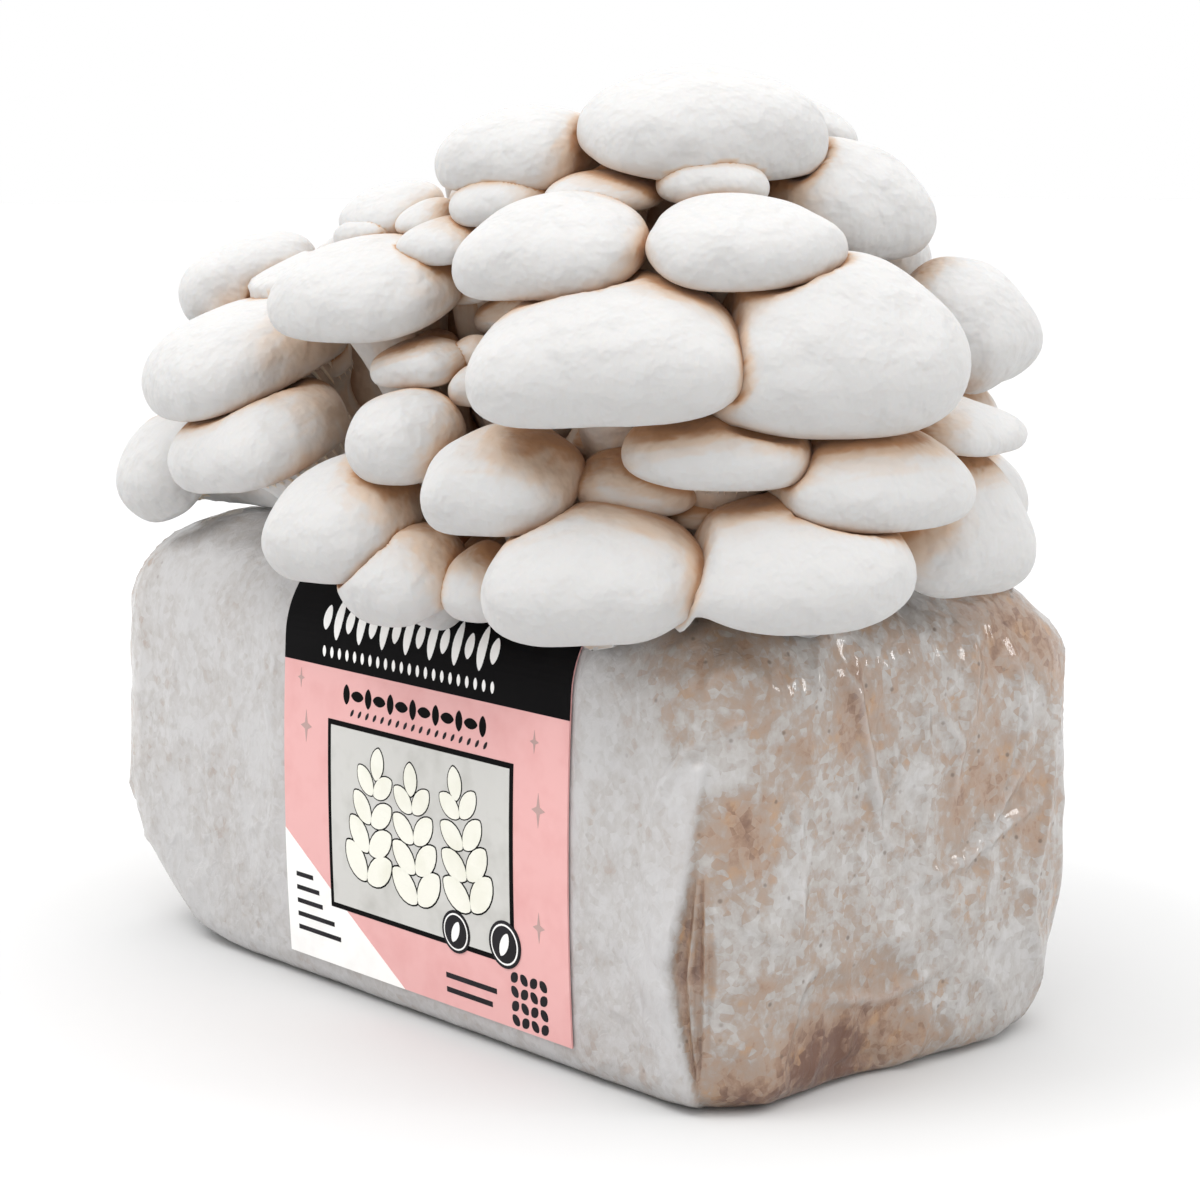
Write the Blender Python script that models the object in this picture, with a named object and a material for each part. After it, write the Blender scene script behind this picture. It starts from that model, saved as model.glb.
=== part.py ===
"""Oyster mushroom grow kit: a bagged sawdust block with a clump of white oyster mushrooms.

Frame: +X along the block's long side, the label faces -Y, +Z up.
The origin is the centre of the bag's flat underside. Units are metres.
"""

from math import cos, pi, radians, sin, sqrt

import bmesh
import bpy
import numpy as np
from mathutils import Vector

MM = 0.001

# Bag and block
BAG_WIDTH = 203 * MM
BAG_DEPTH = 105 * MM
BAG_HEIGHT = 95 * MM
FILM = 0.6 * MM
GAP = 0.3 * MM
CORNER_RADIUS = 15 * MM
SHOULDER_RADIUS = 20 * MM
HEEL_RADIUS = 6 * MM
BULGE = 2.5 * MM
BULGE_HEIGHT = 42 * MM
# Slumped lower corners: near, far right, far left, front left
SLUMP_RADII = (1 * MM, 14 * MM, 22 * MM, 28 * MM)
SLUMP_HEIGHT = 34 * MM
SLUMP_LEFT = 7 * MM
OPENING_WIDTH = 148 * MM
OPENING_DEPTH = 57 * MM
CORNER_STEPS = 4
HEEL_STEPS = 3
SHOULDER_STEPS = 4
WALL_LEVELS = (0.35, 0.68)

# Label on the front of the bag
LABEL_LEFT = -30 * MM
LABEL_RIGHT = 62 * MM
LABEL_BOTTOM = 6.5 * MM
LABEL_TOP = 90 * MM
LABEL_THICKNESS = 0.4 * MM

# Fused tissue that every stem grows from
BASE_HALF_WIDTH = 60 * MM
BASE_HALF_DEPTH = 28 * MM
BASE_HEIGHT = 44 * MM
BASE_FLOOR = BAG_HEIGHT - FILM
BASE_MARGIN = 1.02
BASE_SIDES = 20
BASE_LEVELS = 6
BASE_LUMPS = 0.07
BASE_LUMP_WAVES = (3, 5)
BASE_LUMP_START = 1
BASE_LUMP_TWIST = 4
BASE_DIRECTIONS = 400
BASE_TOP_SHARE = 0.97

# Cap cross-section: fraction of the outline, fraction of the height
CAP_RINGS = ((0.84, 0.0), (1.0, 0.34), (0.83, 0.74), (0.46, 0.95))
SMALL_CAP_RINGS = ((0.84, 0.0), (1.0, 0.38), (0.66, 0.86))
SMALL_CAP_WIDTH = 26 * MM
CAP_SIDES = 14
SMALL_CAP_SIDES = 10
CAP_FAN = 0.10
STEM_SIDES = 6
STEM_TOP_SHARE = 0.17
STEM_ROOT_SHARE = 0.70
STEM_SETBACK = 0.16
STEM_REACH = 0.40
ROOT_DROP = 0.62
LOWEST_ROOT = 7 * MM
THINNEST_ROOT = 2.2 * MM
UNDERSIDE_LEVEL = 0.12

# Each mushroom: the middle of its cap's underside in mm, the compass way its margin
# faces and its lean that way in degrees, then cap width, length and height in mm.
MUSHROOMS = {
    "crown": (
        ((23, -30, 171), -75, 19, (33, 29, 12)),
        ((51, -11, 173), -18, 15, (46, 40, 17)),
        ((39, 32, 178), 44, 32, (23, 20, 7)),
        ((65, 14, 162), -8, 39, (34, 30, 14)),
    ),
    "upper": (
        ((53, -46, 154), -68, 27, (35, 31, 12)),
        ((80, -28, 155), -36, 22, (34, 30, 11)),
        ((2, -52, 144), -75, 24, (40, 34, 13)),
        ((-74, -28, 143), -126, 24, (38, 33, 13)),
        ((64, -19, 167), -34, 17, (21, 18, 7)),
        ((47, -30, 165), -60, 11, (24, 20, 6)),
        ((27, -38, 164), -76, 25, (21, 19, 7)),
        ((-10, -37, 161), -91, 25, (23, 20, 7)),
    ),
    "middle": (
        ((69, -47, 134), -62, 27, (48, 41, 17)),
        ((92, -16, 136), -28, 42, (47, 41, 18)),
        ((76, 35, 139), 10, 56, (33, 29, 15)),
        ((-41, -51, 127), -107, 22, (49, 42, 16)),
        ((-26, -57, 113), -98, 26, (42, 36, 14)),
        ((-87, -37, 103), -105, 55, (32, 28, 15)),
        ((93, 13, 122), 12, 17, (32, 28, 7)),
    ),
    "lower": (
        ((24, -59, 118), -75, 39, (24, 21, 12)),
        ((50, -56, 111), -73, 31, (31, 27, 13)),
        ((10, -62, 101), -88, 39, (36, 31, 14)),
        ((70, -41, 113), -59, 26, (24, 20, 8)),
        ((85, -36, 118), -49, 15, (32, 28, 11)),
        ((100, -15, 113), -21, 23, (38, 32, 12)),
        ((96, 11, 104), -6, 59, (33, 31, 13)),
    ),
    "edge": (
        ((27, -62, 92), -82, 38, (27, 23, 12)),
        ((44, -57, 93), -75, 51, (15, 16, 9)),
        ((72, -53, 95), -64, 31, (39, 34, 15)),
        ((98, -31, 98), -38, 28, (41, 35, 14)),
    ),
    "young": (
        ((18, -45, 156), -82, 24, (19, 17, 6)),
        ((19, -52, 132), -82, 19, (20, 17, 7)),
        ((80, -33, 108), -51, 16, (17, 14, 5)),
    ),
    "rear": (
        ((76, 37, 99), 34, 45, (38, 33, 13)),
        ((47, 56, 104), 62, 34, (50, 42, 16)),
        ((8, 62, 98), 93, 43, (43, 36, 14)),
        ((-33, 61, 103), 95, 33, (50, 42, 16)),
        ((-75, 51, 97), 123, 42, (43, 36, 14)),
        ((-99, 24, 105), 153, 39, (47, 40, 16)),
        ((-104, -10, 104), 196, 42, (40, 34, 14)),
        ((60, 43, 122), 48, 40, (38, 33, 13)),
        ((26, 58, 131), 74, 30, (48, 42, 16)),
        ((-17, 59, 124), 99, 38, (44, 37, 14)),
        ((-57, 48, 128), 116, 32, (50, 42, 16)),
        ((-92, 12, 126), 164, 38, (46, 38, 15)),
        ((-92, -20, 122), 206, 38, (42, 36, 14)),
        ((36, 45, 153), 60, 27, (40, 35, 13)),
        ((-1, 46, 150), 84, 32, (45, 38, 15)),
        ((-38, 40, 149), 108, 25, (50, 42, 15)),
        ((-68, 10, 145), 166, 30, (46, 38, 14)),
    ),
    "inner": (
        ((-44, -34, 141), -118, 28, (42, 36, 12)),
        ((14, 24, 171), 70, 20, (44, 38, 14)),
        ((-26, 16, 163), 130, 22, (46, 39, 14)),
        ((-34, -12, 149), -150, 20, (42, 37, 12)),
        ((8, -10, 165), -110, 18, (42, 37, 12)),
        ((32, 4, 173), 20, 12, (38, 36, 12)),
    ),
}

# Finish of each kind of piece: colour, roughness
FINISHES = {
    "mushroom": ((0.86, 0.85, 0.82), 0.75),
    "clump_base": ((0.80, 0.74, 0.62), 0.80),
    "substrate": ((0.52, 0.44, 0.36), 0.90),
    "film": ((0.74, 0.73, 0.71), 0.30),
    "label": ((0.80, 0.45, 0.43), 0.45),
}

# How neighbours are parted: an upper cap gives up less of its shape than a lower one
DIRECTION_COUNT = 600
SIDEWAYS_COUNT = 48
BESIDE_SHARE = 0.5
ABOVE_SHARE = 0.3
NEARLY_PARALLEL = 0.05
CUT_TOLERANCE = 0.001 * MM
WELD_DISTANCE = 0.02 * MM
SHARP_ANGLE = 38


def clear_scene():
    """Remove the objects that the file opened with."""
    for item in list(bpy.data.objects):
        bpy.data.objects.remove(item, do_unlink=True)


def finish(name):
    """Make the Principled material of one kind of piece."""
    colour, roughness = FINISHES[name]
    material = bpy.data.materials.new(name)
    material.use_nodes = True
    shader = material.node_tree.nodes["Principled BSDF"]
    shader.inputs["Base Color"].default_value = (*colour, 1.0)
    shader.inputs["Roughness"].default_value = roughness
    return material


def add_object(name, mesh_data, material):
    """Put a bmesh into the scene as a named object and free it."""
    mesh = bpy.data.meshes.new(name)
    mesh_data.to_mesh(mesh)
    mesh_data.free()
    mesh.materials.append(material)
    item = bpy.data.objects.new(name, mesh)
    bpy.context.collection.objects.link(item)
    return item


def add_loops(body, rings):
    """Add the points of closed rings to a body, one loop of vertices for each ring."""
    return [[body.verts.new(point) for point in ring] for ring in rings]


def skin(body, loops):
    """Join each loop to the next by triangles that all lean the same way."""
    for low, high in zip(loops, loops[1:]):
        for i, start in enumerate(low):
            j = (i + 1) % len(low)
            body.faces.new((start, low[j], high[j]))
            body.faces.new((start, high[j], high[i]))


def loft(rings, close_last=True):
    """Skin a stack of closed rings of equal count and close its ends."""
    body = bmesh.new()
    loops = add_loops(body, rings)
    skin(body, loops)
    body.faces.new(loops[0])
    if close_last:
        body.faces.new(loops[-1])
    bmesh.ops.recalc_face_normals(body, faces=body.faces[:])
    return body


def loft_to_top(rings, top_point):
    """Skin a stack of closed rings and close the last one by a fan to a point."""
    body = loft(rings, close_last=False)
    top = body.verts.new(top_point)
    count = len(rings[-1])
    rim = body.verts[:][-count - 1:-1]
    for i, vert in enumerate(rim):
        body.faces.new((vert, rim[(i + 1) % count], top))
    bmesh.ops.recalc_face_normals(body, faces=body.faces[:])
    return body


def rounded_rectangle(width, depth, radii):
    """Corner-rounded rectangle around the origin, counter-clockwise, as (x, y) points."""
    points = []
    signs = ((1, -1), (1, 1), (-1, 1), (-1, -1))
    for corner, ((sx, sy), radius) in enumerate(zip(signs, radii)):
        start = (corner - 1) * pi / 2
        for step in range(CORNER_STEPS + 1):
            angle = start + step / CORNER_STEPS * pi / 2
            x = sx * (width / 2 - radius) + radius * cos(angle)
            y = sy * (depth / 2 - radius) + radius * sin(angle)
            points.append((x, y))
    return points


def arc(radius, steps):
    """Quarter arc as (inset, rise) points, from flat to upright."""
    angles = [step / steps * pi / 2 for step in range(steps + 1)]
    return [(radius * (1 - sin(angle)), radius * (1 - cos(angle))) for angle in angles]


def upright_curve(offset):
    """Inset and height of the bag's side without bulge, moved outwards by offset."""
    heel = [(inset, rise - offset) for inset, rise in arc(HEEL_RADIUS + offset, HEEL_STEPS)]
    straight = BAG_HEIGHT - SHOULDER_RADIUS - HEEL_RADIUS
    middle = [(0.0, HEEL_RADIUS + share * straight) for share in WALL_LEVELS]
    top = BAG_HEIGHT + offset
    upper = arc(SHOULDER_RADIUS + offset, SHOULDER_STEPS)
    shoulder = [(inset, top - rise) for inset, rise in reversed(upper)]
    return heel + middle + shoulder


def side_profile(offset):
    """Inset, height and slump of the bag's side, from heel to shoulder."""
    profile = []
    for (inset, height), (_, level) in zip(upright_curve(offset), upright_curve(0.0)):
        away = (level - BULGE_HEIGHT) / (BAG_HEIGHT - BULGE_HEIGHT)
        slump = max(0.0, 1 - level / SLUMP_HEIGHT) ** 2
        profile.append((inset + BULGE * away ** 2, height, slump))
    return profile


def block_rings(offset):
    """Rings of the filled bag's rounded shape, moved outwards by offset."""
    rings = []
    width = BAG_WIDTH + 2 * offset
    depth = BAG_DEPTH + 2 * offset
    for inset, height, slump in side_profile(offset):
        radii = [CORNER_RADIUS + offset + extra * slump for extra in SLUMP_RADII]
        outline = rounded_rectangle(width - 2 * inset, depth - 2 * inset, radii)
        pull = SLUMP_LEFT * slump / width
        rings.append([(x + pull * (width / 2 - x), y, height) for x, y in outline])
    return rings


def opening_ring(height):
    """Cut edge of the film on top of the block."""
    outline = rounded_rectangle(OPENING_WIDTH, OPENING_DEPTH, [CORNER_RADIUS] * 4)
    return [(x, y, height) for x, y in outline]


def build_substrate_block():
    """Sawdust block, one film thickness and one gap inside the bag."""
    rings = block_rings(-(FILM + GAP))
    add_object("substrate_block", loft(rings), finish("substrate"))


def build_grow_bag():
    """Film around the block, open on top where the clump comes through."""
    body = bmesh.new()
    rims = []
    for offset in (0.0, -FILM):
        loops = add_loops(body, block_rings(offset) + [opening_ring(BAG_HEIGHT + offset)])
        skin(body, loops)
        body.faces.new(loops[0])
        rims.append(loops[-1])
    skin(body, rims)
    bmesh.ops.recalc_face_normals(body, faces=body.faces[:])
    add_object("grow_bag", body, finish("film"))


def label_line(offset):
    """Front line of the label as (y, z), from its lower edge to its upper edge."""
    front = -BAG_DEPTH / 2 - offset
    profile = [(front + inset, z) for inset, z, _ in side_profile(offset)]
    heights = [z for _, z in profile]
    depths = [y for y, _ in profile]
    inner = [z for z in heights if LABEL_BOTTOM < z < LABEL_TOP]
    levels = [LABEL_BOTTOM, *inner, LABEL_TOP]
    return [(float(np.interp(z, heights, depths)), z) for z in levels]


def build_label():
    """Printed label that follows the front of the bag."""
    back = label_line(GAP)
    front = label_line(GAP + LABEL_THICKNESS)
    count = min(len(back), len(front))
    loop = front[:count] + back[:count][::-1]
    rings = [[(x, y, z) for y, z in loop] for x in (LABEL_LEFT, LABEL_RIGHT)]
    add_object("label", loft(rings), finish("label"))


def base_radius(around, up):
    """Lumpy surface of the clump base, never outside its plain ellipsoid."""
    coarse, fine = BASE_LUMP_WAVES
    slow = (1 + sin(coarse * around + BASE_LUMP_START)) / 2
    quick = (1 + sin(fine * around + BASE_LUMP_TWIST * up)) / 2
    return 1 - BASE_LUMPS * (slow + quick) / 2


def build_clump_base():
    """Half-round mass of fused tissue on top of the block."""
    rings = []
    for level in range(BASE_LEVELS):
        up = level / BASE_LEVELS * pi / 2
        ring = []
        for side in range(BASE_SIDES):
            around = side / BASE_SIDES * 2 * pi
            reach = base_radius(around, up)
            x = BASE_HALF_WIDTH * reach * cos(up) * cos(around)
            y = BASE_HALF_DEPTH * reach * cos(up) * sin(around)
            ring.append((x, y, BASE_FLOOR + BASE_HEIGHT * reach * sin(up)))
        rings.append(ring)
    body = loft_to_top(rings, (0, 0, BASE_FLOOR + BASE_HEIGHT * BASE_TOP_SHARE))
    add_object("clump_base", body, finish("clump_base"))


def corners(body):
    """Corner positions of a bmesh as an array."""
    return np.array([vert.co[:] for vert in body.verts])


def spread_directions(count):
    """Unit vectors spread evenly over a sphere by the golden angle."""
    index = np.arange(count) + 0.5
    height = 1 - 2 * index / count
    around = index * pi * (3 - sqrt(5))
    ring = np.sqrt(1 - height ** 2)
    return np.stack([ring * np.cos(around), ring * np.sin(around), height], axis=1)


def sideways_directions(axis, count):
    """Unit vectors spread evenly around an axis, square to it."""
    axis = Vector(axis).normalized()
    first = axis.orthogonal().normalized()
    second = axis.cross(first)
    angles = [step / count * 2 * pi for step in range(count)]
    return np.array([(first * cos(a) + second * sin(a))[:] for a in angles])


def least_overlap(first, second, directions):
    """Direction from first to second along which two convex bodies overlap least."""
    reach = (directions @ first.T).max(axis=1)
    start = (directions @ second.T).min(axis=1)
    best = int(np.argmin(reach - start))
    return directions[best], float(reach[best]), float(start[best])


def keep_side(body, point, normal):
    """Cut a convex body by a plane and keep what lies against the normal."""
    geometry = body.verts[:] + body.edges[:] + body.faces[:]
    cut = bmesh.ops.bisect_plane(
        body, geom=geometry, dist=CUT_TOLERANCE, plane_co=point, plane_no=normal, clear_outer=True
    )
    edges = [item for item in cut["geom_cut"] if isinstance(item, bmesh.types.BMEdge)]
    open_edges = [edge for edge in edges if edge.is_boundary]
    if open_edges:
        bmesh.ops.edgeloop_fill(body, edges=open_edges)
    bmesh.ops.remove_doubles(body, verts=body.verts[:], dist=WELD_DISTANCE)
    bmesh.ops.recalc_face_normals(body, faces=body.faces[:])


class Mushroom:
    """One cap and its stem, kept as two convex bodies until they are joined."""

    def __init__(self, name, place, facing, lean, size):
        self.name = name
        self.centre = Vector(place) * MM
        self.width, self.length, self.height = (value * MM for value in size)
        outward = Vector((cos(radians(facing)), sin(radians(facing)), 0.0))
        lean = radians(lean)
        self.up = Vector((0, 0, cos(lean))) + outward * sin(lean)
        self.forward = outward * cos(lean) - Vector((0, 0, sin(lean)))
        self.side = self.forward.cross(self.up)
        self.cap = self.make_cap()
        self.stem = None
        self.axis = None

    def outline(self):
        """Outline of the cap seen from above: a rounded fan, wider towards its margin."""
        count = SMALL_CAP_SIDES if self.width < SMALL_CAP_WIDTH else CAP_SIDES
        points = []
        for step in range(count):
            angle = step / count * 2 * pi
            across = self.width / 2 * sin(angle) * (1 + CAP_FAN * cos(angle))
            points.append((across, self.length / 2 * cos(angle)))
        return points

    def make_cap(self):
        """Domed cap with a flat underside."""
        small = self.width < SMALL_CAP_WIDTH
        rings = []
        for share, level in SMALL_CAP_RINGS if small else CAP_RINGS:
            middle = self.centre + self.up * (self.height * level)
            ring = [
                middle + self.side * (across * share) + self.forward * (along * share)
                for across, along in self.outline()
            ]
            rings.append(ring)
        return loft_to_top(rings, self.centre + self.up * self.height)

    def underside_middle(self):
        """Middle of what is left of the underside, set back from the margin."""
        points = corners(self.cap)
        heights = (points - np.array(self.centre)) @ np.array(self.up)
        low = points[heights < UNDERSIDE_LEVEL * self.height]
        middle = Vector((low.max(axis=0) + low.min(axis=0)) / 2)
        middle -= self.up * (middle - self.centre).dot(self.up)
        return middle - self.forward * (STEM_SETBACK * self.length)

    def make_stem(self):
        """Straight tapered stem from the clump base up into the cap."""
        attach = self.underside_middle()
        root = root_on_base(attach)
        top = attach + self.up * (STEM_REACH * self.height)
        self.axis = (top - root).normalized()
        first = self.axis.orthogonal().normalized()
        second = self.axis.cross(first)
        top_radius = STEM_TOP_SHARE * self.width
        root_radius = max(STEM_ROOT_SHARE * top_radius, THINNEST_ROOT)
        rings = []
        for centre, radius in ((root, root_radius), (top, top_radius)):
            ring = []
            for step in range(STEM_SIDES):
                angle = (step + 0.5) / STEM_SIDES * 2 * pi
                ring.append(centre + (first * cos(angle) + second * sin(angle)) * radius)
            rings.append(ring)
        self.stem = loft(rings)


def root_on_base(attach):
    """Point on the clump base below and inwards of a cap's stem."""
    rise = max((attach.z - BASE_FLOOR) * ROOT_DROP, LOWEST_ROOT)
    way = Vector((attach.x / BASE_HALF_WIDTH, attach.y / BASE_HALF_DEPTH, rise / BASE_HEIGHT))
    way.normalize()
    return Vector((
        way.x * BASE_HALF_WIDTH,
        way.y * BASE_HALF_DEPTH,
        BASE_FLOOR + way.z * BASE_HEIGHT,
    ))


def bag_corners():
    """Corners of the filled bag's outer shape."""
    return np.array([point for ring in block_rings(0.0) for point in ring])


def base_corners():
    """Corners of the plain ellipsoid around the clump base."""
    points = []
    half = np.array((BASE_HALF_WIDTH, BASE_HALF_DEPTH, BASE_HEIGHT)) * BASE_MARGIN
    for direction in spread_directions(BASE_DIRECTIONS):
        if direction[2] >= 0:
            points.append(direction * half + (0, 0, BASE_FLOOR))
    return np.array(points)


def trim_against(body, fixed, directions):
    """Cut a convex body clear of a fixed convex shape. Returns the overlap."""
    normal, reach, start = least_overlap(corners(body), fixed, directions)
    if reach <= start - GAP:
        return reach - start
    keep_side(body, Vector(normal) * (start - GAP), normal)
    return reach - start


def press_caps(lower, upper, directions):
    """Part two overlapping caps by a plane; the upper one keeps more of its shape."""
    normal, reach, start = least_overlap(corners(lower.cap), corners(upper.cap), directions)
    if reach <= start - GAP:
        return reach - start
    upper_share = BESIDE_SHARE - ABOVE_SHARE * abs(normal[2])
    plane = start + upper_share * (reach - start)
    keep_side(lower.cap, Vector(normal) * (plane - GAP / 2), normal)
    keep_side(upper.cap, Vector(normal) * (plane + GAP / 2), -Vector(normal))
    return reach - start


def press_stems(first, second):
    """Part two overlapping stems by a plane along both of them."""
    axis = first.axis.cross(second.axis)
    if axis.length < NEARLY_PARALLEL:
        axis = first.axis.orthogonal()
    normals = np.array([axis.normalized()[:], (-axis.normalized())[:]])
    normals = np.concatenate([
        normals,
        sideways_directions(first.axis + second.axis, SIDEWAYS_COUNT),
    ])
    normal, reach, start = least_overlap(corners(first.stem), corners(second.stem), normals)
    if reach <= start - GAP:
        return reach - start
    plane = (reach + start) / 2
    keep_side(first.stem, Vector(normal) * (plane - GAP / 2), normal)
    keep_side(second.stem, Vector(normal) * (plane + GAP / 2), -Vector(normal))
    return reach - start


def press_stem_and_cap(owner, other):
    """Cut another mushroom's cap clear of a stem, by a plane along the stem."""
    normals = sideways_directions(owner.axis, SIDEWAYS_COUNT)
    normals = np.concatenate([normals, [other.up[:], (-other.up)[:]]])
    normal, reach, start = least_overlap(corners(owner.stem), corners(other.cap), normals)
    if reach <= start - GAP:
        return reach - start
    keep_side(other.cap, Vector(normal) * (reach + GAP), -Vector(normal))
    return reach - start


def grow_clump():
    """Make every mushroom and press neighbours clear of each other."""
    clump = []
    for row, places in MUSHROOMS.items():
        for number, values in enumerate(places, start=1):
            clump.append(Mushroom(f"{row}_mushroom_{number}", *values))
    clump.sort(key=lambda mushroom: mushroom.centre.z)
    directions = spread_directions(DIRECTION_COUNT)
    bag = bag_corners()
    base = base_corners()
    for mushroom in clump:
        trim_against(mushroom.cap, bag, directions)
        trim_against(mushroom.cap, base, directions)
    for low, lower in enumerate(clump):
        for upper in clump[low + 1:]:
            press_caps(lower, upper, directions)
    for mushroom in clump:
        mushroom.make_stem()
        trim_against(mushroom.stem, bag, np.array([(0.0, 0.0, -1.0)]))
        trim_against(mushroom.stem, base, directions)
    for low, first in enumerate(clump):
        for second in clump[low + 1:]:
            press_stems(first, second)
    for owner in clump:
        for other in clump:
            if other is not owner:
                press_stem_and_cap(owner, other)
    return clump


def join_mushroom(mushroom, material):
    """Join a cap and its stem into one solid."""
    cap = add_object(mushroom.name, mushroom.cap, material)
    stem = add_object(mushroom.name + "_stem_cutter", mushroom.stem, material)
    union = cap.modifiers.new("stem", "BOOLEAN")
    union.operation = "UNION"
    union.solver = "EXACT"
    union.object = stem
    bpy.context.view_layer.update()
    graph = bpy.context.evaluated_depsgraph_get()
    joined = bpy.data.meshes.new_from_object(cap.evaluated_get(graph))
    cap.modifiers.clear()
    cap.data = joined
    joined.shade_smooth()
    joined.set_sharp_from_angle(angle=radians(SHARP_ANGLE))
    bpy.data.objects.remove(stem, do_unlink=True)
    return cap


def build_mushrooms():
    """Build the whole clump, one solid for each mushroom."""
    flesh = finish("mushroom")
    for mushroom in grow_clump():
        join_mushroom(mushroom, flesh)


def main():
    """Build the grow kit."""
    clear_scene()
    build_substrate_block()
    build_grow_bag()
    build_label()
    build_clump_base()
    build_mushrooms()


main()
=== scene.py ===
"""Oyster mushroom grow kit: a film-wrapped sawdust block with a clump of white oyster mushrooms.

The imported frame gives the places. Every piece here stands for one of its nodes, or is small
tissue too fine for it. Units are metres, +Z is up and the label faces -Y.
"""
import logging
from dataclasses import dataclass, field
from enum import Enum
from math import cos, pi, radians, sin, sqrt

import bmesh
import bpy
import numpy as np
from mathutils import Matrix, Vector, noise
from mathutils.bvhtree import BVHTree


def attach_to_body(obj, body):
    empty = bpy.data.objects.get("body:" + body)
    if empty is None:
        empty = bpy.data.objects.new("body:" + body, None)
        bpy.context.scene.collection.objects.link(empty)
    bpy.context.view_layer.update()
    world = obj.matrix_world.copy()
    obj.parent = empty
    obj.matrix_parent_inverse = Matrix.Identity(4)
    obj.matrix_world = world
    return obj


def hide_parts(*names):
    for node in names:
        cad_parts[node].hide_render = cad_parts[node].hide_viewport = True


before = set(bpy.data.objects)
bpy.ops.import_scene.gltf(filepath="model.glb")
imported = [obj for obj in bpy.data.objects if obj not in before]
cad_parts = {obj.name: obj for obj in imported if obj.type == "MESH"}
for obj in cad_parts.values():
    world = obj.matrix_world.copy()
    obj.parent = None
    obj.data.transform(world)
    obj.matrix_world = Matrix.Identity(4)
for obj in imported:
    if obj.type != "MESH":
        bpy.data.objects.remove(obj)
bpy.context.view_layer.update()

MM = 0.001
LOG = logging.getLogger("grow_kit")

Array = np.ndarray
Point = tuple[float, float, float]


class Slot(Enum):
    """The record's material slots."""

    MUSHROOM = "mushroom"
    CLUMP_BASE = "clump_base"
    SUBSTRATE = "substrate"
    FILM = "film"
    LABEL = "label"


# Each mushroom: the middle of its cap's underside in mm, the compass way its margin
# faces and its lean that way in degrees, then cap width, length and height in mm.
MUSHROOMS = {
    "crown": (
        ((23, -30, 171), -75, 19, (33, 29, 12)),
        ((51, -11, 173), -18, 15, (46, 40, 17)),
        ((39, 32, 178), 44, 32, (23, 20, 7)),
        ((65, 14, 162), -8, 39, (34, 30, 14)),
    ),
    "upper": (
        ((53, -46, 154), -68, 27, (35, 31, 12)),
        ((80, -28, 155), -36, 22, (34, 30, 11)),
        ((2, -52, 144), -75, 24, (40, 34, 13)),
        ((-74, -28, 143), -126, 24, (38, 33, 13)),
        ((64, -19, 167), -34, 17, (21, 18, 7)),
        ((47, -30, 165), -60, 11, (24, 20, 6)),
        ((27, -38, 164), -76, 25, (21, 19, 7)),
        ((-10, -37, 161), -91, 25, (23, 20, 7)),
    ),
    "middle": (
        ((69, -47, 134), -62, 27, (48, 41, 17)),
        ((92, -16, 136), -28, 42, (47, 41, 18)),
        ((76, 35, 139), 10, 56, (33, 29, 15)),
        ((-41, -51, 127), -107, 22, (49, 42, 16)),
        ((-26, -57, 113), -98, 26, (42, 36, 14)),
        ((-87, -37, 103), -105, 55, (32, 28, 15)),
        ((93, 13, 122), 12, 17, (32, 28, 7)),
    ),
    "lower": (
        ((24, -59, 118), -75, 39, (24, 21, 12)),
        ((50, -56, 111), -73, 31, (31, 27, 13)),
        ((10, -62, 101), -88, 39, (36, 31, 14)),
        ((70, -41, 113), -59, 26, (24, 20, 8)),
        ((85, -36, 118), -49, 15, (32, 28, 11)),
        ((100, -15, 113), -21, 23, (38, 32, 12)),
        ((96, 11, 104), -6, 59, (33, 31, 13)),
    ),
    "edge": (
        ((27, -62, 92), -82, 38, (27, 23, 12)),
        ((44, -57, 93), -75, 51, (15, 16, 9)),
        ((72, -53, 95), -64, 31, (39, 34, 15)),
        ((98, -31, 98), -38, 28, (41, 35, 14)),
    ),
    "young": (
        ((18, -45, 156), -82, 24, (19, 17, 6)),
        ((19, -52, 132), -82, 19, (20, 17, 7)),
        ((80, -33, 108), -51, 16, (17, 14, 5)),
    ),
    "rear": (
        ((76, 37, 99), 34, 45, (38, 33, 13)),
        ((47, 56, 104), 62, 34, (50, 42, 16)),
        ((8, 62, 98), 93, 43, (43, 36, 14)),
        ((-33, 61, 103), 95, 33, (50, 42, 16)),
        ((-75, 51, 97), 123, 42, (43, 36, 14)),
        ((-99, 24, 105), 153, 39, (47, 40, 16)),
        ((-104, -10, 104), 196, 42, (40, 34, 14)),
        ((60, 43, 122), 48, 40, (38, 33, 13)),
        ((26, 58, 131), 74, 30, (48, 42, 16)),
        ((-17, 59, 124), 99, 38, (44, 37, 14)),
        ((-57, 48, 128), 116, 32, (50, 42, 16)),
        ((-92, 12, 126), 164, 38, (46, 38, 15)),
        ((-92, -20, 122), 206, 38, (42, 36, 14)),
        ((36, 45, 153), 60, 27, (40, 35, 13)),
        ((-1, 46, 150), 84, 32, (45, 38, 15)),
        ((-38, 40, 149), 108, 25, (50, 42, 15)),
        ((-68, 10, 145), 166, 30, (46, 38, 14)),
    ),
    "inner": (
        ((-44, -34, 141), -118, 28, (42, 36, 12)),
        ((14, 24, 171), 70, 20, (44, 38, 14)),
        ((-26, 16, 163), 130, 22, (46, 39, 14)),
        ((-34, -12, 149), -150, 20, (42, 37, 12)),
        ((8, -10, 165), -110, 18, (42, 37, 12)),
        ((32, 4, 173), 20, 12, (38, 36, 12)),
    ),
}

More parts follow.
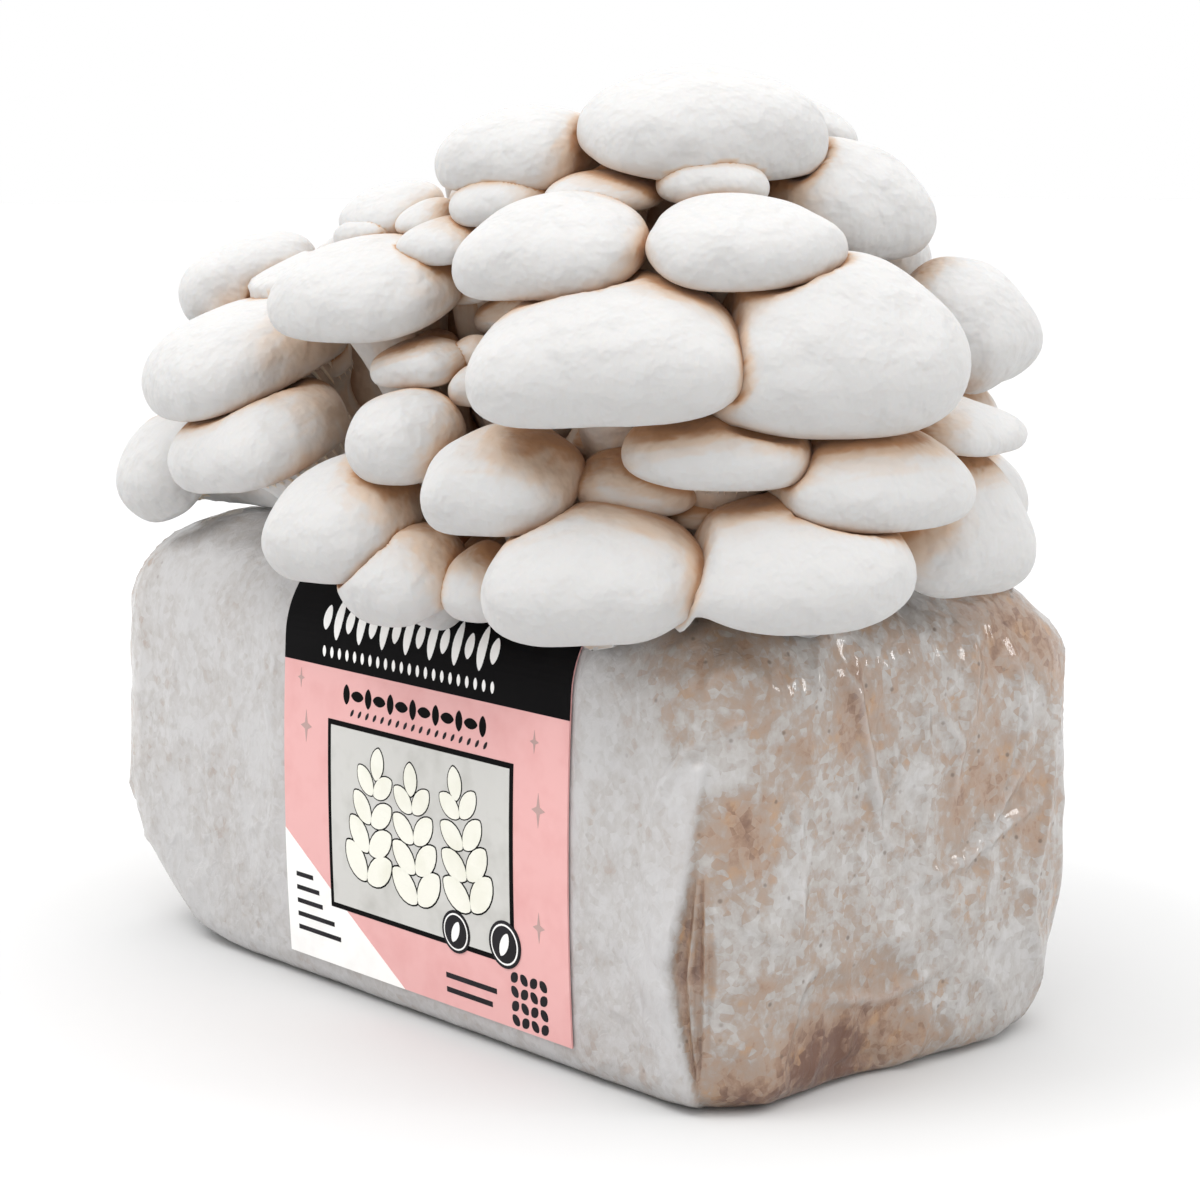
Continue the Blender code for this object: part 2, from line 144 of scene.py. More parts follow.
# Small mushrooms in the gaps, which have no node of their own
SPROUTS = (
    ((5, -40, 161), -86, 28, (13, 12, 4)),
    ((-10, -43, 157), -93, 13, (16, 13, 5)),
    ((27, -45, 134), -76, 27, (10, 9, 6)),
    ((33, -50, 129), -76, 32, (10, 10, 6)),
    ((57, -38, 121), -63, 30, (13, 12, 4)),
    ((25, -35, 142), -73, 28, (14, 12, 5)),
    ((38, -44, 129), -70, 34, (9, 9, 5)),
    ((12, -44, 135), -84, 26, (11, 10, 5)),
    ((31, -36, 136), -74, 20, (12, 11, 5)),
    ((20, -40, 147), -80, 24, (9, 9, 4)),
)

# How far in mm a mushroom lies over neighbours that are as high as it
OVERLAP = {
    "crown_1": -1, "crown_2": 3, "crown_3": -3,
    "upper_1": 14, "upper_2": 12, "upper_3": 17.5,
    "middle_1": 6, "middle_2": 2, "middle_4": 17,
    "lower_2": 7, "edge_3": 4,
}


# Corners of some caps' margins: bearing and spread in degrees, share of the half width
CORNERS = {
    "upper_1": ((40, 24, 0.08),), "upper_2": ((-85, 17, 0.17), (95, 30, -0.03)),
    "upper_3": ((-95, 24, 0.07), (90, 26, 0.04)), "middle_4": ((5, 26, 0.08),),
    "middle_1": ((40, 24, 0.08), (-65, 24, 0.08), (160, 30, 0.05)),
    "middle_2": ((-85, 26, 0.05), (45, 26, 0.06)), "crown_2": ((95, 24, 0.06),),
    "lower_2": ((25, 24, 0.06), (-110, 24, 0.05)), "lower_5": ((82, 22, 0.06), (-98, 22, 0.06)),
    "lower_6": ((-70, 22, 0.07),), "edge_3": ((50, 24, 0.07), (-90, 24, 0.08)),
    "edge_4": ((-75, 24, 0.09), (85, 24, 0.04)), "middle_7": ((-60, 18, 0.12),),
}


def linear(code: str) -> tuple[float, float, float, float]:
    """Turn an sRGB hex colour into linear RGBA.

    Args:
        code: Six hex digits.

    Returns:
        The linear colour, opaque.
    """
    parts = [int(code[i:i + 2], 16) / 255 for i in (0, 2, 4)]
    parts = [p / 12.92 if p <= 0.04045 else ((p + 0.055) / 1.055) ** 2.4 for p in parts]
    return (*parts, 1.0)


def per(size_mm: float) -> float:
    """Texture scale that gives features of this size in mm."""
    return 1000.0 / size_mm


def add_node(tree: bpy.types.NodeTree, kind: str, values: dict | None = None,
             links: dict | None = None, **settings) -> bpy.types.Node:
    """Add one node with its settings, input values and links.

    Args:
        tree: The tree that gets the node.
        kind: The node's type name.
        values: Input values by socket name or number.
        links: Sockets that feed the inputs, by socket name or number.
        **settings: Properties of the node itself.

    Returns:
        The new node.
    """
    node = tree.nodes.new(kind)
    for name, value in settings.items():
        setattr(node, name, value)
    for key, value in (values or {}).items():
        node.inputs[key].default_value = value
    for key, source in (links or {}).items():
        tree.links.new(source, node.inputs[key])
    return node


def new_material(name: str, **values) -> tuple[bpy.types.Material, bpy.types.NodeTree, bpy.types.Node]:
    """Start a Principled material.

    Args:
        name: The material's name.
        **values: Uniform values of the shader, with underscores for spaces.

    Returns:
        The material, its tree and its shader.
    """
    material = bpy.data.materials.new(name)
    material.use_nodes = True
    tree = material.node_tree
    shader = tree.nodes["Principled BSDF"]
    for key, value in values.items():
        shader.inputs[key.replace("_", " ")].default_value = value
    return material, tree, shader


def value_noise(points: Array, size_mm: float, seed: float = 0.0) -> Array:
    """Smooth noise from -1 to 1 at each point, with features of this size."""
    scale = per(size_mm)
    shift = Vector((seed * 7.31, seed * 3.17, seed * 5.73))
    return np.array([noise.noise(Vector(p) * scale + shift) for p in points])


def make_piece(name: str, points: Array, faces: list, materials: list[bpy.types.Material],
               face_slots: list[int] | None = None) -> bpy.types.Object:
    """Make a smooth-shaded mesh object at the origin.

    Args:
        name: The piece's name.
        points: Vertex positions, one row each.
        faces: Vertex numbers of each face.
        materials: The piece's materials.
        face_slots: Each face's material number, 0 if not given.

    Returns:
        The linked object.
    """
    mesh = bpy.data.meshes.new(name)
    mesh.from_pydata([tuple(p) for p in points], [], faces)
    for material in materials:
        mesh.materials.append(material)
    if face_slots is not None:
        mesh.polygons.foreach_set("material_index", face_slots)
    mesh.shade_smooth()
    mesh.update()
    item = bpy.data.objects.new(name, mesh)
    bpy.context.scene.collection.objects.link(item)
    return item


def grid_faces(rings: int, around: int, start: int = 0) -> list[tuple[int, ...]]:
    """Faces between rings of vertices, each ring closed on itself.

    Args:
        rings: The number of rings.
        around: Vertices in each ring.
        start: Number of the first ring's first vertex.

    Returns:
        The four corners of each face.
    """
    faces = []
    for r in range(rings - 1):
        low = start + r * around
        for i in range(around):
            j = (i + 1) % around
            faces.append((low + i, low + around + i, low + around + j, low + j))
    return faces


def point_outwards(item: bpy.types.Object) -> None:
    """Turn the faces of a closed mesh outwards."""
    body = bmesh.new()
    body.from_mesh(item.data)
    bmesh.ops.recalc_face_normals(body, faces=body.faces[:])
    body.to_mesh(item.data)
    body.free()


def store(item: bpy.types.Object, name: str, values: Array) -> None:
    """Write one number per vertex into the mesh."""
    data = item.data.attributes.new(name, "FLOAT", "POINT")
    data.data.foreach_set("value", np.asarray(values, dtype=np.float32))


def stand_for(item: bpy.types.Object, slot: Slot, *nodes: str) -> bpy.types.Object:
    """Args:
        item: The finished piece.
        slot: Its material slot, not used.
        *nodes: The CAD nodes that it replaces.

    Returns:
        The same piece.
    """
    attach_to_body(item, "root")
    if nodes:
        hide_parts(*nodes)
    LOG.info("%s: %d faces", item.name, len(item.data.polygons))
    return item


def grow(tree: bpy.types.NodeTree, host: bpy.types.Object, values: dict) -> bpy.types.Mesh:
    """Evaluate a Geometry Nodes tree on a host and give its result as a plain mesh.

    Args:
        tree: The tree.
        host: The object whose mesh feeds the tree.
        values: The tree's input values by name.

    Returns:
        The new mesh.
    """
    modifier = host.modifiers.new(tree.name, "NODES")
    modifier.node_group = tree
    for entry in tree.interface.items_tree:
        if entry.item_type == "SOCKET" and entry.in_out == "INPUT" and entry.name in values:
            modifier[entry.identifier] = values[entry.name]
    host.update_tag()
    bpy.context.view_layer.update()
    graph = bpy.context.evaluated_depsgraph_get()
    mesh = bpy.data.meshes.new_from_object(host.evaluated_get(graph))
    host.modifiers.remove(modifier)
    return mesh


def new_geometry_tree(name: str, inputs: tuple[tuple[str, str, object], ...]) -> tuple:
    """Start a Geometry Nodes tree with named inputs.

    Args:
        name: The tree's name.
        inputs: Name, socket type and default of each input after the geometry.

    Returns:
        The tree, its input node and its output node.
    """
    tree = bpy.data.node_groups.new(name, "GeometryNodeTree")
    tree.interface.new_socket("Geometry", in_out="INPUT", socket_type="NodeSocketGeometry")
    for label, kind, default in inputs:
        socket = tree.interface.new_socket(label, in_out="INPUT", socket_type=kind)
        if default is not None:
            socket.default_value = default
    tree.interface.new_socket("Geometry", in_out="OUTPUT", socket_type="NodeSocketGeometry")
    return tree, add_node(tree, "NodeGroupInput"), add_node(tree, "NodeGroupOutput")


@dataclass(frozen=True)
class CapSkin:
    """Skin of an oyster mushroom: dry, velvety fungal flesh."""

    # lit is the flesh's own colour; warm and deep are painted shade for skin that other flesh hides.
    lit: str = "C1C0BF"
    warm: str = "C3AE9B"
    deep: str = "AC7F59"
    fibril_mm: float = 0.9
    mottle_mm: float = 9.0

    def material(self) -> bpy.types.Material:
        """Dry flesh: no gloss, a soft glow at thin margins, painted warm and brown shade where other
        flesh hides the skin.
        """
        material, tree, shader = new_material(
            "oyster_cap_skin", Roughness=0.72, Subsurface_Weight=0.18, Subsurface_Scale=0.003,
            Subsurface_Radius=(1.0, 0.62, 0.42), Sheen_Weight=0.12, Sheen_Roughness=0.6,
            Specular_IOR_Level=0.25,
        )
        place = add_node(tree, "ShaderNodeTexCoord").outputs["Object"]
        painted_shade_amount = add_node(tree, "ShaderNodeAttribute", attribute_name="painted_shade_amount").outputs["Fac"]
        mottle = add_node(tree, "ShaderNodeTexNoise", {"Scale": per(self.mottle_mm), "Detail": 3.0},
                          {"Vector": place})
        spread = add_node(tree, "ShaderNodeMath", {1: 0.14, 2: -0.07},
                          {0: mottle.outputs["Fac"]}, operation="MULTIPLY_ADD")
        shade_in_hollows = add_node(tree, "ShaderNodeMath", {}, {0: painted_shade_amount, 1: spread.outputs[0]},
                           operation="ADD")
        # Painted shade: warm where other flesh partly hides the skin, brown deep in the hollows.
        warm_shade_share = add_node(tree, "ShaderNodeMapRange", {"From Min": 0.06, "From Max": 0.50},
                          {"Value": shade_in_hollows.outputs[0]}, interpolation_type="SMOOTHSTEP")
        depth = add_node(tree, "ShaderNodeMapRange", {"From Min": 0.44, "From Max": 0.90},
                         {"Value": shade_in_hollows.outputs[0]}, interpolation_type="SMOOTHSTEP")
        warm_shaded = add_node(tree, "ShaderNodeMix", {6: linear(self.lit), 7: linear(self.warm)},
                          {0: warm_shade_share.outputs[0]}, data_type="RGBA")
        coloured = add_node(tree, "ShaderNodeMix", {7: linear(self.deep)},
                            {0: depth.outputs[0], 6: warm_shaded.outputs[2]}, data_type="RGBA")
        tree.links.new(coloured.outputs[2], shader.inputs["Base Color"])
        fibrils = add_node(tree, "ShaderNodeTexNoise",
                           {"Scale": per(self.fibril_mm), "Detail": 4.0, "Roughness": 0.6},
                           {"Vector": place})
        bump = add_node(tree, "ShaderNodeBump", {"Strength": 0.25, "Distance": 0.15 * MM},
                        {"Height": fibrils.outputs["Fac"]})
        uneven = add_node(tree, "ShaderNodeBump", {"Strength": 0.8, "Distance": 3.0 * MM},
                          {"Height": mottle.outputs["Fac"], "Normal": bump.outputs["Normal"]})
        tree.links.new(uneven.outputs["Normal"], shader.inputs["Normal"])
        return material


@dataclass(frozen=True)
class GillFlesh:
    """Gills under the cap: thin cream blades of the same flesh."""

    pale: str = "F3E6D3"
    deep: str = "B98B62"

    def material(self) -> bpy.types.Material:
        """Thin flesh: cream, matt, a little light through each blade."""
        material, tree, shader = new_material(
            "oyster_gill_flesh", Roughness=0.7, Subsurface_Weight=0.2, Subsurface_Scale=0.002,
            Subsurface_Radius=(1.0, 0.6, 0.4), Specular_IOR_Level=0.2,
        )
        place = add_node(tree, "ShaderNodeTexCoord").outputs["Object"]
        tone = add_node(tree, "ShaderNodeTexNoise", {"Scale": per(6), "Detail": 3.0},
                        {"Vector": place})
        shade = add_node(tree, "ShaderNodeMapRange",
                         {"From Min": 0.35, "From Max": 0.8, "To Max": 0.45},
                         {"Value": tone.outputs["Fac"]})
        colour = add_node(tree, "ShaderNodeMix", {6: linear(self.pale), 7: linear(self.deep)},
                          {0: shade.outputs[0]}, data_type="RGBA")
        tree.links.new(colour.outputs[2], shader.inputs["Base Color"])
        return material


@dataclass(frozen=True)
class FusedTissue:
    """Knotted tissue where all the stems meet."""

    pale: str = "EADBC4"
    deep: str = "9A6B45"

    def material(self) -> bpy.types.Material:
        """Dense cream tissue, brown in its folds, rough."""
        material, tree, shader = new_material(
            "oyster_fused_tissue", Roughness=0.85, Specular_IOR_Level=0.2)
        place = add_node(tree, "ShaderNodeTexCoord").outputs["Object"]
        folds = add_node(tree, "ShaderNodeTexNoise", {"Scale": per(7), "Detail": 5.0},
                         {"Vector": place})
        shade = add_node(tree, "ShaderNodeMapRange", {"From Min": 0.4, "From Max": 0.7},
                         {"Value": folds.outputs["Fac"]})
        colour = add_node(tree, "ShaderNodeMix", {6: linear(self.pale), 7: linear(self.deep)},
                          {0: shade.outputs[0]}, data_type="RGBA")
        tree.links.new(colour.outputs[2], shader.inputs["Base Color"])
        bump = add_node(tree, "ShaderNodeBump", {"Strength": 0.6, "Distance": 0.6 * MM},
                        {"Height": folds.outputs["Fac"]})
        tree.links.new(bump.outputs["Normal"], shader.inputs["Normal"])
        return material


@dataclass(frozen=True)
class MyceliumBlock:
    """Sawdust bound by white mycelium."""

    mycelium: str = "C9C7C6"
    shade: str = "A9A098"
    sawdust: str = "AB8D76"
    bark: str = "745140"
    rust: str = "BE966F"
    speck: str = "5F4A3B"

    def pattern(self, tree: bpy.types.NodeTree, place: bpy.types.NodeSocket) -> bpy.types.NodeSocket:
        """Colour of felt and wood crumb, browner where the felt is thin.

        Args:
            tree: The material's tree.
            place: The position that the pattern follows.

        Returns:
            The colour.
        """
        bare = add_node(tree, "ShaderNodeAttribute", attribute_name="bare").outputs["Fac"]
        upright = add_node(tree, "ShaderNodeMapping", {"Scale": (1.0, 1.0, 0.8)},
                           {"Vector": place})
        blotch = add_node(tree, "ShaderNodeTexNoise",
                          {"Scale": per(12), "Detail": 7.0, "Roughness": 0.62, "Distortion": 0.5},
                          {"Vector": upright.outputs[0]})
        crumb = add_node(tree, "ShaderNodeTexNoise",
                         {"Scale": per(2.4), "Detail": 3.0, "Roughness": 0.6}, {"Vector": place})
        grains = add_node(tree, "ShaderNodeTexVoronoi", {"Scale": per(1.7)}, {"Vector": place})
        grain = add_node(tree, "ShaderNodeSeparateColor", {}, {0: grains.outputs["Color"]})
        fine = add_node(tree, "ShaderNodeMath", {1: 0.5}, {0: crumb.outputs["Fac"],
                        2: blotch.outputs["Fac"]}, operation="MULTIPLY_ADD")
        mixed = add_node(tree, "ShaderNodeMath", {1: 0.22}, {0: grain.outputs[0],
                         2: fine.outputs[0]}, operation="MULTIPLY_ADD")
        level = add_node(tree, "ShaderNodeMath", {}, {0: mixed.outputs[0], 1: bare},
                         operation="ADD")
        felt = add_node(tree, "ShaderNodeMapRange", {"From Min": 0.68, "From Max": 1.06},
                        {"Value": level.outputs[0]})
        pale = add_node(tree, "ShaderNodeMix", {6: linear(self.mycelium), 7: linear(self.shade)},
                        {0: felt.outputs[0]}, data_type="RGBA")
        thin = add_node(tree, "ShaderNodeMapRange", {"From Min": 0.92, "From Max": 1.27},
                        {"Value": level.outputs[0]})
        brown = add_node(tree, "ShaderNodeMix", {7: linear(self.sawdust)},
                         {0: thin.outputs[0], 6: pale.outputs[2]}, data_type="RGBA")
        warm = add_node(tree, "ShaderNodeTexNoise", {"Scale": per(5), "Detail": 4.0},
                        {"Vector": upright.outputs[0]})
        rusty = add_node(tree, "ShaderNodeMapRange", {"From Min": 0.56, "From Max": 0.70},
                         {"Value": warm.outputs["Fac"]})
        share = add_node(tree, "ShaderNodeMath", {}, {0: rusty.outputs[0], 1: thin.outputs[0]},
                         operation="MULTIPLY")
        rust = add_node(tree, "ShaderNodeMix", {7: linear(self.rust)},
                        {0: share.outputs[0], 6: brown.outputs[2]}, data_type="RGBA")
        deep = add_node(tree, "ShaderNodeMapRange", {"From Min": 1.20, "From Max": 1.50},
                        {"Value": level.outputs[0]})
        bark = add_node(tree, "ShaderNodeMix", {7: linear(self.bark)},
                        {0: deep.outputs[0], 6: rust.outputs[2]}, data_type="RGBA")
        dots = add_node(tree, "ShaderNodeTexVoronoi", {"Scale": per(3.4)}, {"Vector": place})
        chance = add_node(tree, "ShaderNodeSeparateColor", {}, {0: dots.outputs["Color"]})
        few = add_node(tree, "ShaderNodeMapRange", {"From Min": 0.62, "From Max": 0.68},
                       {"Value": chance.outputs[0]})
        close = add_node(tree, "ShaderNodeMapRange",
                         {"From Min": 0.07, "From Max": 0.17, "To Min": 0.7, "To Max": 0.0},
                         {"Value": dots.outputs["Distance"]})
        dotted = add_node(tree, "ShaderNodeMath", {}, {0: few.outputs[0], 1: close.outputs[0]},
                          operation="MULTIPLY")
        there = add_node(tree, "ShaderNodeMapRange", {"From Min": -0.15, "From Max": 0.12},
                         {"Value": bare})
        speck = add_node(tree, "ShaderNodeMath", {}, {0: dotted.outputs[0], 1: there.outputs[0]},
                         operation="MULTIPLY")
        colour = add_node(tree, "ShaderNodeMix", {7: linear(self.speck)},
                          {0: speck.outputs[0], 6: bark.outputs[2]}, data_type="RGBA")
        return colour.outputs[2]

    def material(self) -> bpy.types.Material:
        """Rough wood crumb under a white felt, brown where the felt is thin."""
        material, tree, shader = new_material(
            "mycelium_sawdust", Roughness=0.9, Specular_IOR_Level=0.15)
        place = add_node(tree, "ShaderNodeTexCoord").outputs["Object"]
        tree.links.new(self.pattern(tree, place), shader.inputs["Base Color"])
        crumb = add_node(tree, "ShaderNodeTexNoise", {"Scale": per(2.4), "Detail": 5.0},
                         {"Vector": place})
        bump = add_node(tree, "ShaderNodeBump", {"Strength": 0.7, "Distance": 0.5 * MM},
                        {"Height": crumb.outputs["Fac"]})
        tree.links.new(bump.outputs["Normal"], shader.inputs["Normal"])
        return material


@dataclass(frozen=True)
class WoodChip:
    """Loose wood crumbs that lie against the film."""

    pale: str = "B98F6B"
    dark: str = "4A2F1E"

    def material(self) -> bpy.types.Material:
        """Damp wood crumb: brown, rough."""
        material, tree, shader = new_material("beech_crumb", Roughness=0.8)
        place = add_node(tree, "ShaderNodeTexCoord").outputs["Object"]
        tone = add_node(tree, "ShaderNodeTexNoise", {"Scale": per(3.0), "Detail": 2.0},
                        {"Vector": place})
        shade = add_node(tree, "ShaderNodeMapRange", {"From Min": 0.35, "From Max": 0.65},
                         {"Value": tone.outputs["Fac"]})
        colour = add_node(tree, "ShaderNodeMix", {6: linear(self.pale), 7: linear(self.dark)},
                          {0: shade.outputs[0]}, data_type="RGBA")
        tree.links.new(colour.outputs[2], shader.inputs["Base Color"])
        return material


@dataclass(frozen=True)
class GrowFilm:
    """Clear polypropylene film, blown thin, that clings to the damp block."""

    milk_and_highlight: str = "C3C2C3"
    wrinkle_mm: float = 9.0
    crinkle_mm: float = 3.2

    def material(self) -> bpy.types.Material:
        """Thin shiny film: the block's colours come through, milky along its folds, with painted
        highlight on fold ridges and wrinkle crests.
        """
        material, tree, shader = new_material(
            "polypropylene_film", Roughness=0.3, IOR=1.49, Coat_Weight=0.7, Coat_Roughness=0.07)
        place = add_node(tree, "ShaderNodeTexCoord").outputs["Object"]
        block = MyceliumBlock().pattern(tree, place)
        fold = add_node(tree, "ShaderNodeAttribute", attribute_name="milk_and_highlight").outputs["Fac"]
        upright = add_node(tree, "ShaderNodeMapping", {"Scale": (1.0, 1.0, 0.7)},
                           {"Vector": place})
        ridges = add_node(tree, "ShaderNodeTexNoise",
                          {"Scale": per(self.wrinkle_mm), "Detail": 4.0, "Roughness": 0.5,
                           "Distortion": 0.9}, {"Vector": upright.outputs[0]},
                          noise_type="RIDGED_MULTIFRACTAL")
        # Wrinkle crests turn paler and milkier: partly the film's own whitening where it creases, partly
        # painted highlight.
        crest = add_node(tree, "ShaderNodeMapRange",
                         {"From Min": 0.75, "From Max": 1.5, "To Min": 0.0, "To Max": 0.35},
                         {"Value": ridges.outputs["Fac"]})
        milky_highlight = add_node(tree, "ShaderNodeMath", {}, {0: crest.outputs[0], 1: fold},
                        operation="ADD", use_clamp=True)
        colour = add_node(tree, "ShaderNodeMix", {7: linear(self.milk_and_highlight)},
                          {0: milky_highlight.outputs[0], 6: block}, data_type="RGBA")
        tree.links.new(colour.outputs[2], shader.inputs["Base Color"])
        alpha = add_node(tree, "ShaderNodeMapRange", {"To Min": 0.78, "To Max": 0.97},
                         {"Value": milky_highlight.outputs[0]})
        tree.links.new(alpha.outputs[0], shader.inputs["Alpha"])
        crinkle = add_node(tree, "ShaderNodeTexNoise",
                           {"Scale": per(self.crinkle_mm), "Detail": 4.0, "Distortion": 1.0},
                           {"Vector": upright.outputs[0]})
        height = add_node(tree, "ShaderNodeMath", {1: 0.5}, {0: crinkle.outputs["Fac"],
                          2: ridges.outputs["Fac"]}, operation="MULTIPLY_ADD")
        bump = add_node(tree, "ShaderNodeBump", {"Strength": 0.8, "Distance": 1.2 * MM},
                        {"Height": height.outputs[0]})
        tree.links.new(bump.outputs["Normal"], shader.inputs["Normal"])
        return material


@dataclass(frozen=True)
class PrintedPaper:
    """Coated label paper, or one printed ink on it."""

    name: str
    colour: str
    mottle: str | None = None
    roughness: float = 0.42
    gloss: float = 0.3

    def material(self) -> bpy.types.Material:
        """Coated paper: even colour, satin, a slight press mottle."""
        material, tree, shader = new_material(
            self.name, Roughness=self.roughness, Specular_IOR_Level=self.gloss)
        place = add_node(tree, "ShaderNodeTexCoord").outputs["Object"]
        tone = add_node(tree, "ShaderNodeTexNoise", {"Scale": per(7), "Detail": 3.0},
                        {"Vector": place})
        shade = add_node(tree, "ShaderNodeMapRange", {"From Min": 0.45, "From Max": 0.75},
                         {"Value": tone.outputs["Fac"]})
        colour = add_node(tree, "ShaderNodeMix",
                          {6: linear(self.colour), 7: linear(self.mottle or self.colour)},
                          {0: shade.outputs[0]}, data_type="RGBA")
        tree.links.new(colour.outputs[2], shader.inputs["Base Color"])
        grain = add_node(tree, "ShaderNodeTexNoise", {"Scale": per(0.6), "Detail": 2.0},
                         {"Vector": place})
        bump = add_node(tree, "ShaderNodeBump", {"Strength": 0.08, "Distance": 0.05 * MM},
                        {"Height": grain.outputs["Fac"]})
        tree.links.new(bump.outputs["Normal"], shader.inputs["Normal"])
        return material


@dataclass(frozen=True)
class StudioPaper:
    def material(self) -> bpy.types.Material:
        """Matt white paper."""
        material, tree, shader = new_material(
            "backdrop_paper", Roughness=0.95, Specular_IOR_Level=0.0)
        shader.inputs["Base Color"].default_value = linear("D4D4D4")
        return material


@dataclass
class BagShape:
    """The filled bag's rounded form, which the film, the block and the label share."""

    width: float = 203 * MM
    depth: float = 105 * MM
    height: float = 95 * MM
    film: float = 0.6 * MM
    gap: float = 0.3 * MM
    corner: float = 15 * MM
    shoulder: float = 20 * MM
    heel: float = 6 * MM
    bulge: float = 2.5 * MM
    bulge_height: float = 42 * MM
    slump_radii: tuple = (1 * MM, 14 * MM, 22 * MM, 28 * MM)
    slump_height: float = 34 * MM
    slump_left: float = 7 * MM

    def levels(self, heel: int, wall: int, shoulder: int) -> list[tuple[float, float]]:
        """Inset and height up the side, from the underside to the flat top.

        Args:
            heel: Steps round the lower edge.
            wall: Steps up the wall.
            shoulder: Steps round the upper edge.

        Returns:
            Inset and height of each level.
        """
        out = []
        for step in range(heel + 1):
            turn = step / heel * pi / 2
            out.append((self.heel * (1 - sin(turn)), self.heel * (1 - cos(turn))))
        straight = self.height - self.shoulder - self.heel
        for step in range(1, wall):
            out.append((0.0, self.heel + straight * step / wall))
        for step in range(shoulder + 1):
            turn = step / shoulder * pi / 2
            inset = self.shoulder * (1 - cos(turn))
            out.append((inset, self.height - self.shoulder * (1 - sin(turn))))
        return [(inset + self.pull_in(z), z) for inset, z in out]

    def pull_in(self, z: float) -> float:
        """How far the side draws in above and below its fullest level."""
        away = (z - self.bulge_height) / (self.height - self.bulge_height)
        return self.bulge * away ** 2

    def front(self, z: float) -> float:
        """Y of the front face at a height."""
        inset = 0.0
        if z < self.heel:
            inset = self.heel - sqrt(max(0.0, self.heel ** 2 - (self.heel - z) ** 2))
        top = self.height - self.shoulder
        if z > top:
            inset = self.shoulder - sqrt(max(0.0, self.shoulder ** 2 - (z - top) ** 2))
        return -self.depth / 2 + inset + self.pull_in(z)

    def ring(self, inset: float, z: float, long: int, short: int, corner: int) -> Array:
        """One level of the bag as points, counter-clockwise from the near front corner.

        Args:
            inset: How far in from the fullest outline.
            z: Height of the level.
            long: Points along each long side.
            short: Points along each end.
            corner: Points round each corner.

        Returns:
            The points.
        """
        slump = max(0.0, 1 - z / self.slump_height) ** 2
        half_x = self.width / 2 - inset
        half_y = self.depth / 2 - inset
        points = []
        signs = ((1, -1), (1, 1), (-1, 1), (-1, -1))
        counts = (short, long, short, long)
        arcs = []
        for number, (sx, sy) in enumerate(signs):
            radius = min(self.corner + self.slump_radii[number] * slump, half_y * 0.98)
            turns = [(number - 1 + step / corner) * pi / 2 for step in range(corner + 1)]
            middle = (sx * (half_x - radius), sy * (half_y - radius))
            arcs.append([(middle[0] + radius * cos(t), middle[1] + radius * sin(t)) for t in turns])
        for number, arc in enumerate(arcs):
            points.extend(arc)
            last, first = arc[-1], arcs[(number + 1) % 4][0]
            for step in range(1, counts[number]):
                share = step / counts[number]
                points.append((last[0] + (first[0] - last[0]) * share,
                               last[1] + (first[1] - last[1]) * share))
        pull = self.slump_left * slump / self.width
        return np.array([(x + pull * (self.width / 2 - x), y, z) for x, y in points])

    def clear(self, points: Array, margin: float) -> Array:
        """Push points out of the bag's upper half.

        Args:
            points: The points.
            margin: Room to leave outside the film.

        Returns:
            The moved points.
        """
        radius = 17 * MM
        half = np.array((self.width / 2 - 2 * MM, self.depth / 2 - 1 * MM, self.height)) - radius
        fold = np.abs(points * (1, 1, 1)) - half
        fold[:, 2] = points[:, 2] - half[2]
        over = np.maximum(fold, 0)
        reach = np.linalg.norm(over, axis=1)
        inner = np.minimum(fold.max(axis=1), 0)
        apart = reach + inner - radius
        side = np.sign(points)
        side[:, 2] = 1
        way = over * side
        flat = reach < 1e-9
        best = fold.argmax(axis=1)
        way[flat] = 0
        way[flat, best[flat]] = side[flat, best[flat]]
        way /= np.maximum(np.linalg.norm(way, axis=1), 1e-9)[:, None]
        push = np.clip(margin - apart, 0, 16 * MM)
        return points + way * push[:, None]


@dataclass
class CapProfile:
    """Cross-section shared by all the caps, as shares of outline and height."""

    equator: float = 0.26
    turn_in: float = 0.88
    power: float = 2.2
    fan: float = 0.10
    square: float = 0.35

    def top(self, share: Array) -> Array:
        """Height share of the upper skin at an outline share."""
        inside = np.clip(share, 0, 1)
        dome = (1 - inside ** self.power) ** (1 / self.power)
        return self.equator + (1 - self.equator) * dome

    def under(self, share: Array) -> Array:
        """Height share of the underside at an outline share."""
        edge = np.clip((share - self.turn_in) / (1 - self.turn_in), 0, 1)
        return self.equator * (1 - (1 - edge ** self.power) ** (1 / self.power))


PROFILE = CapProfile()
BAG = BagShape()


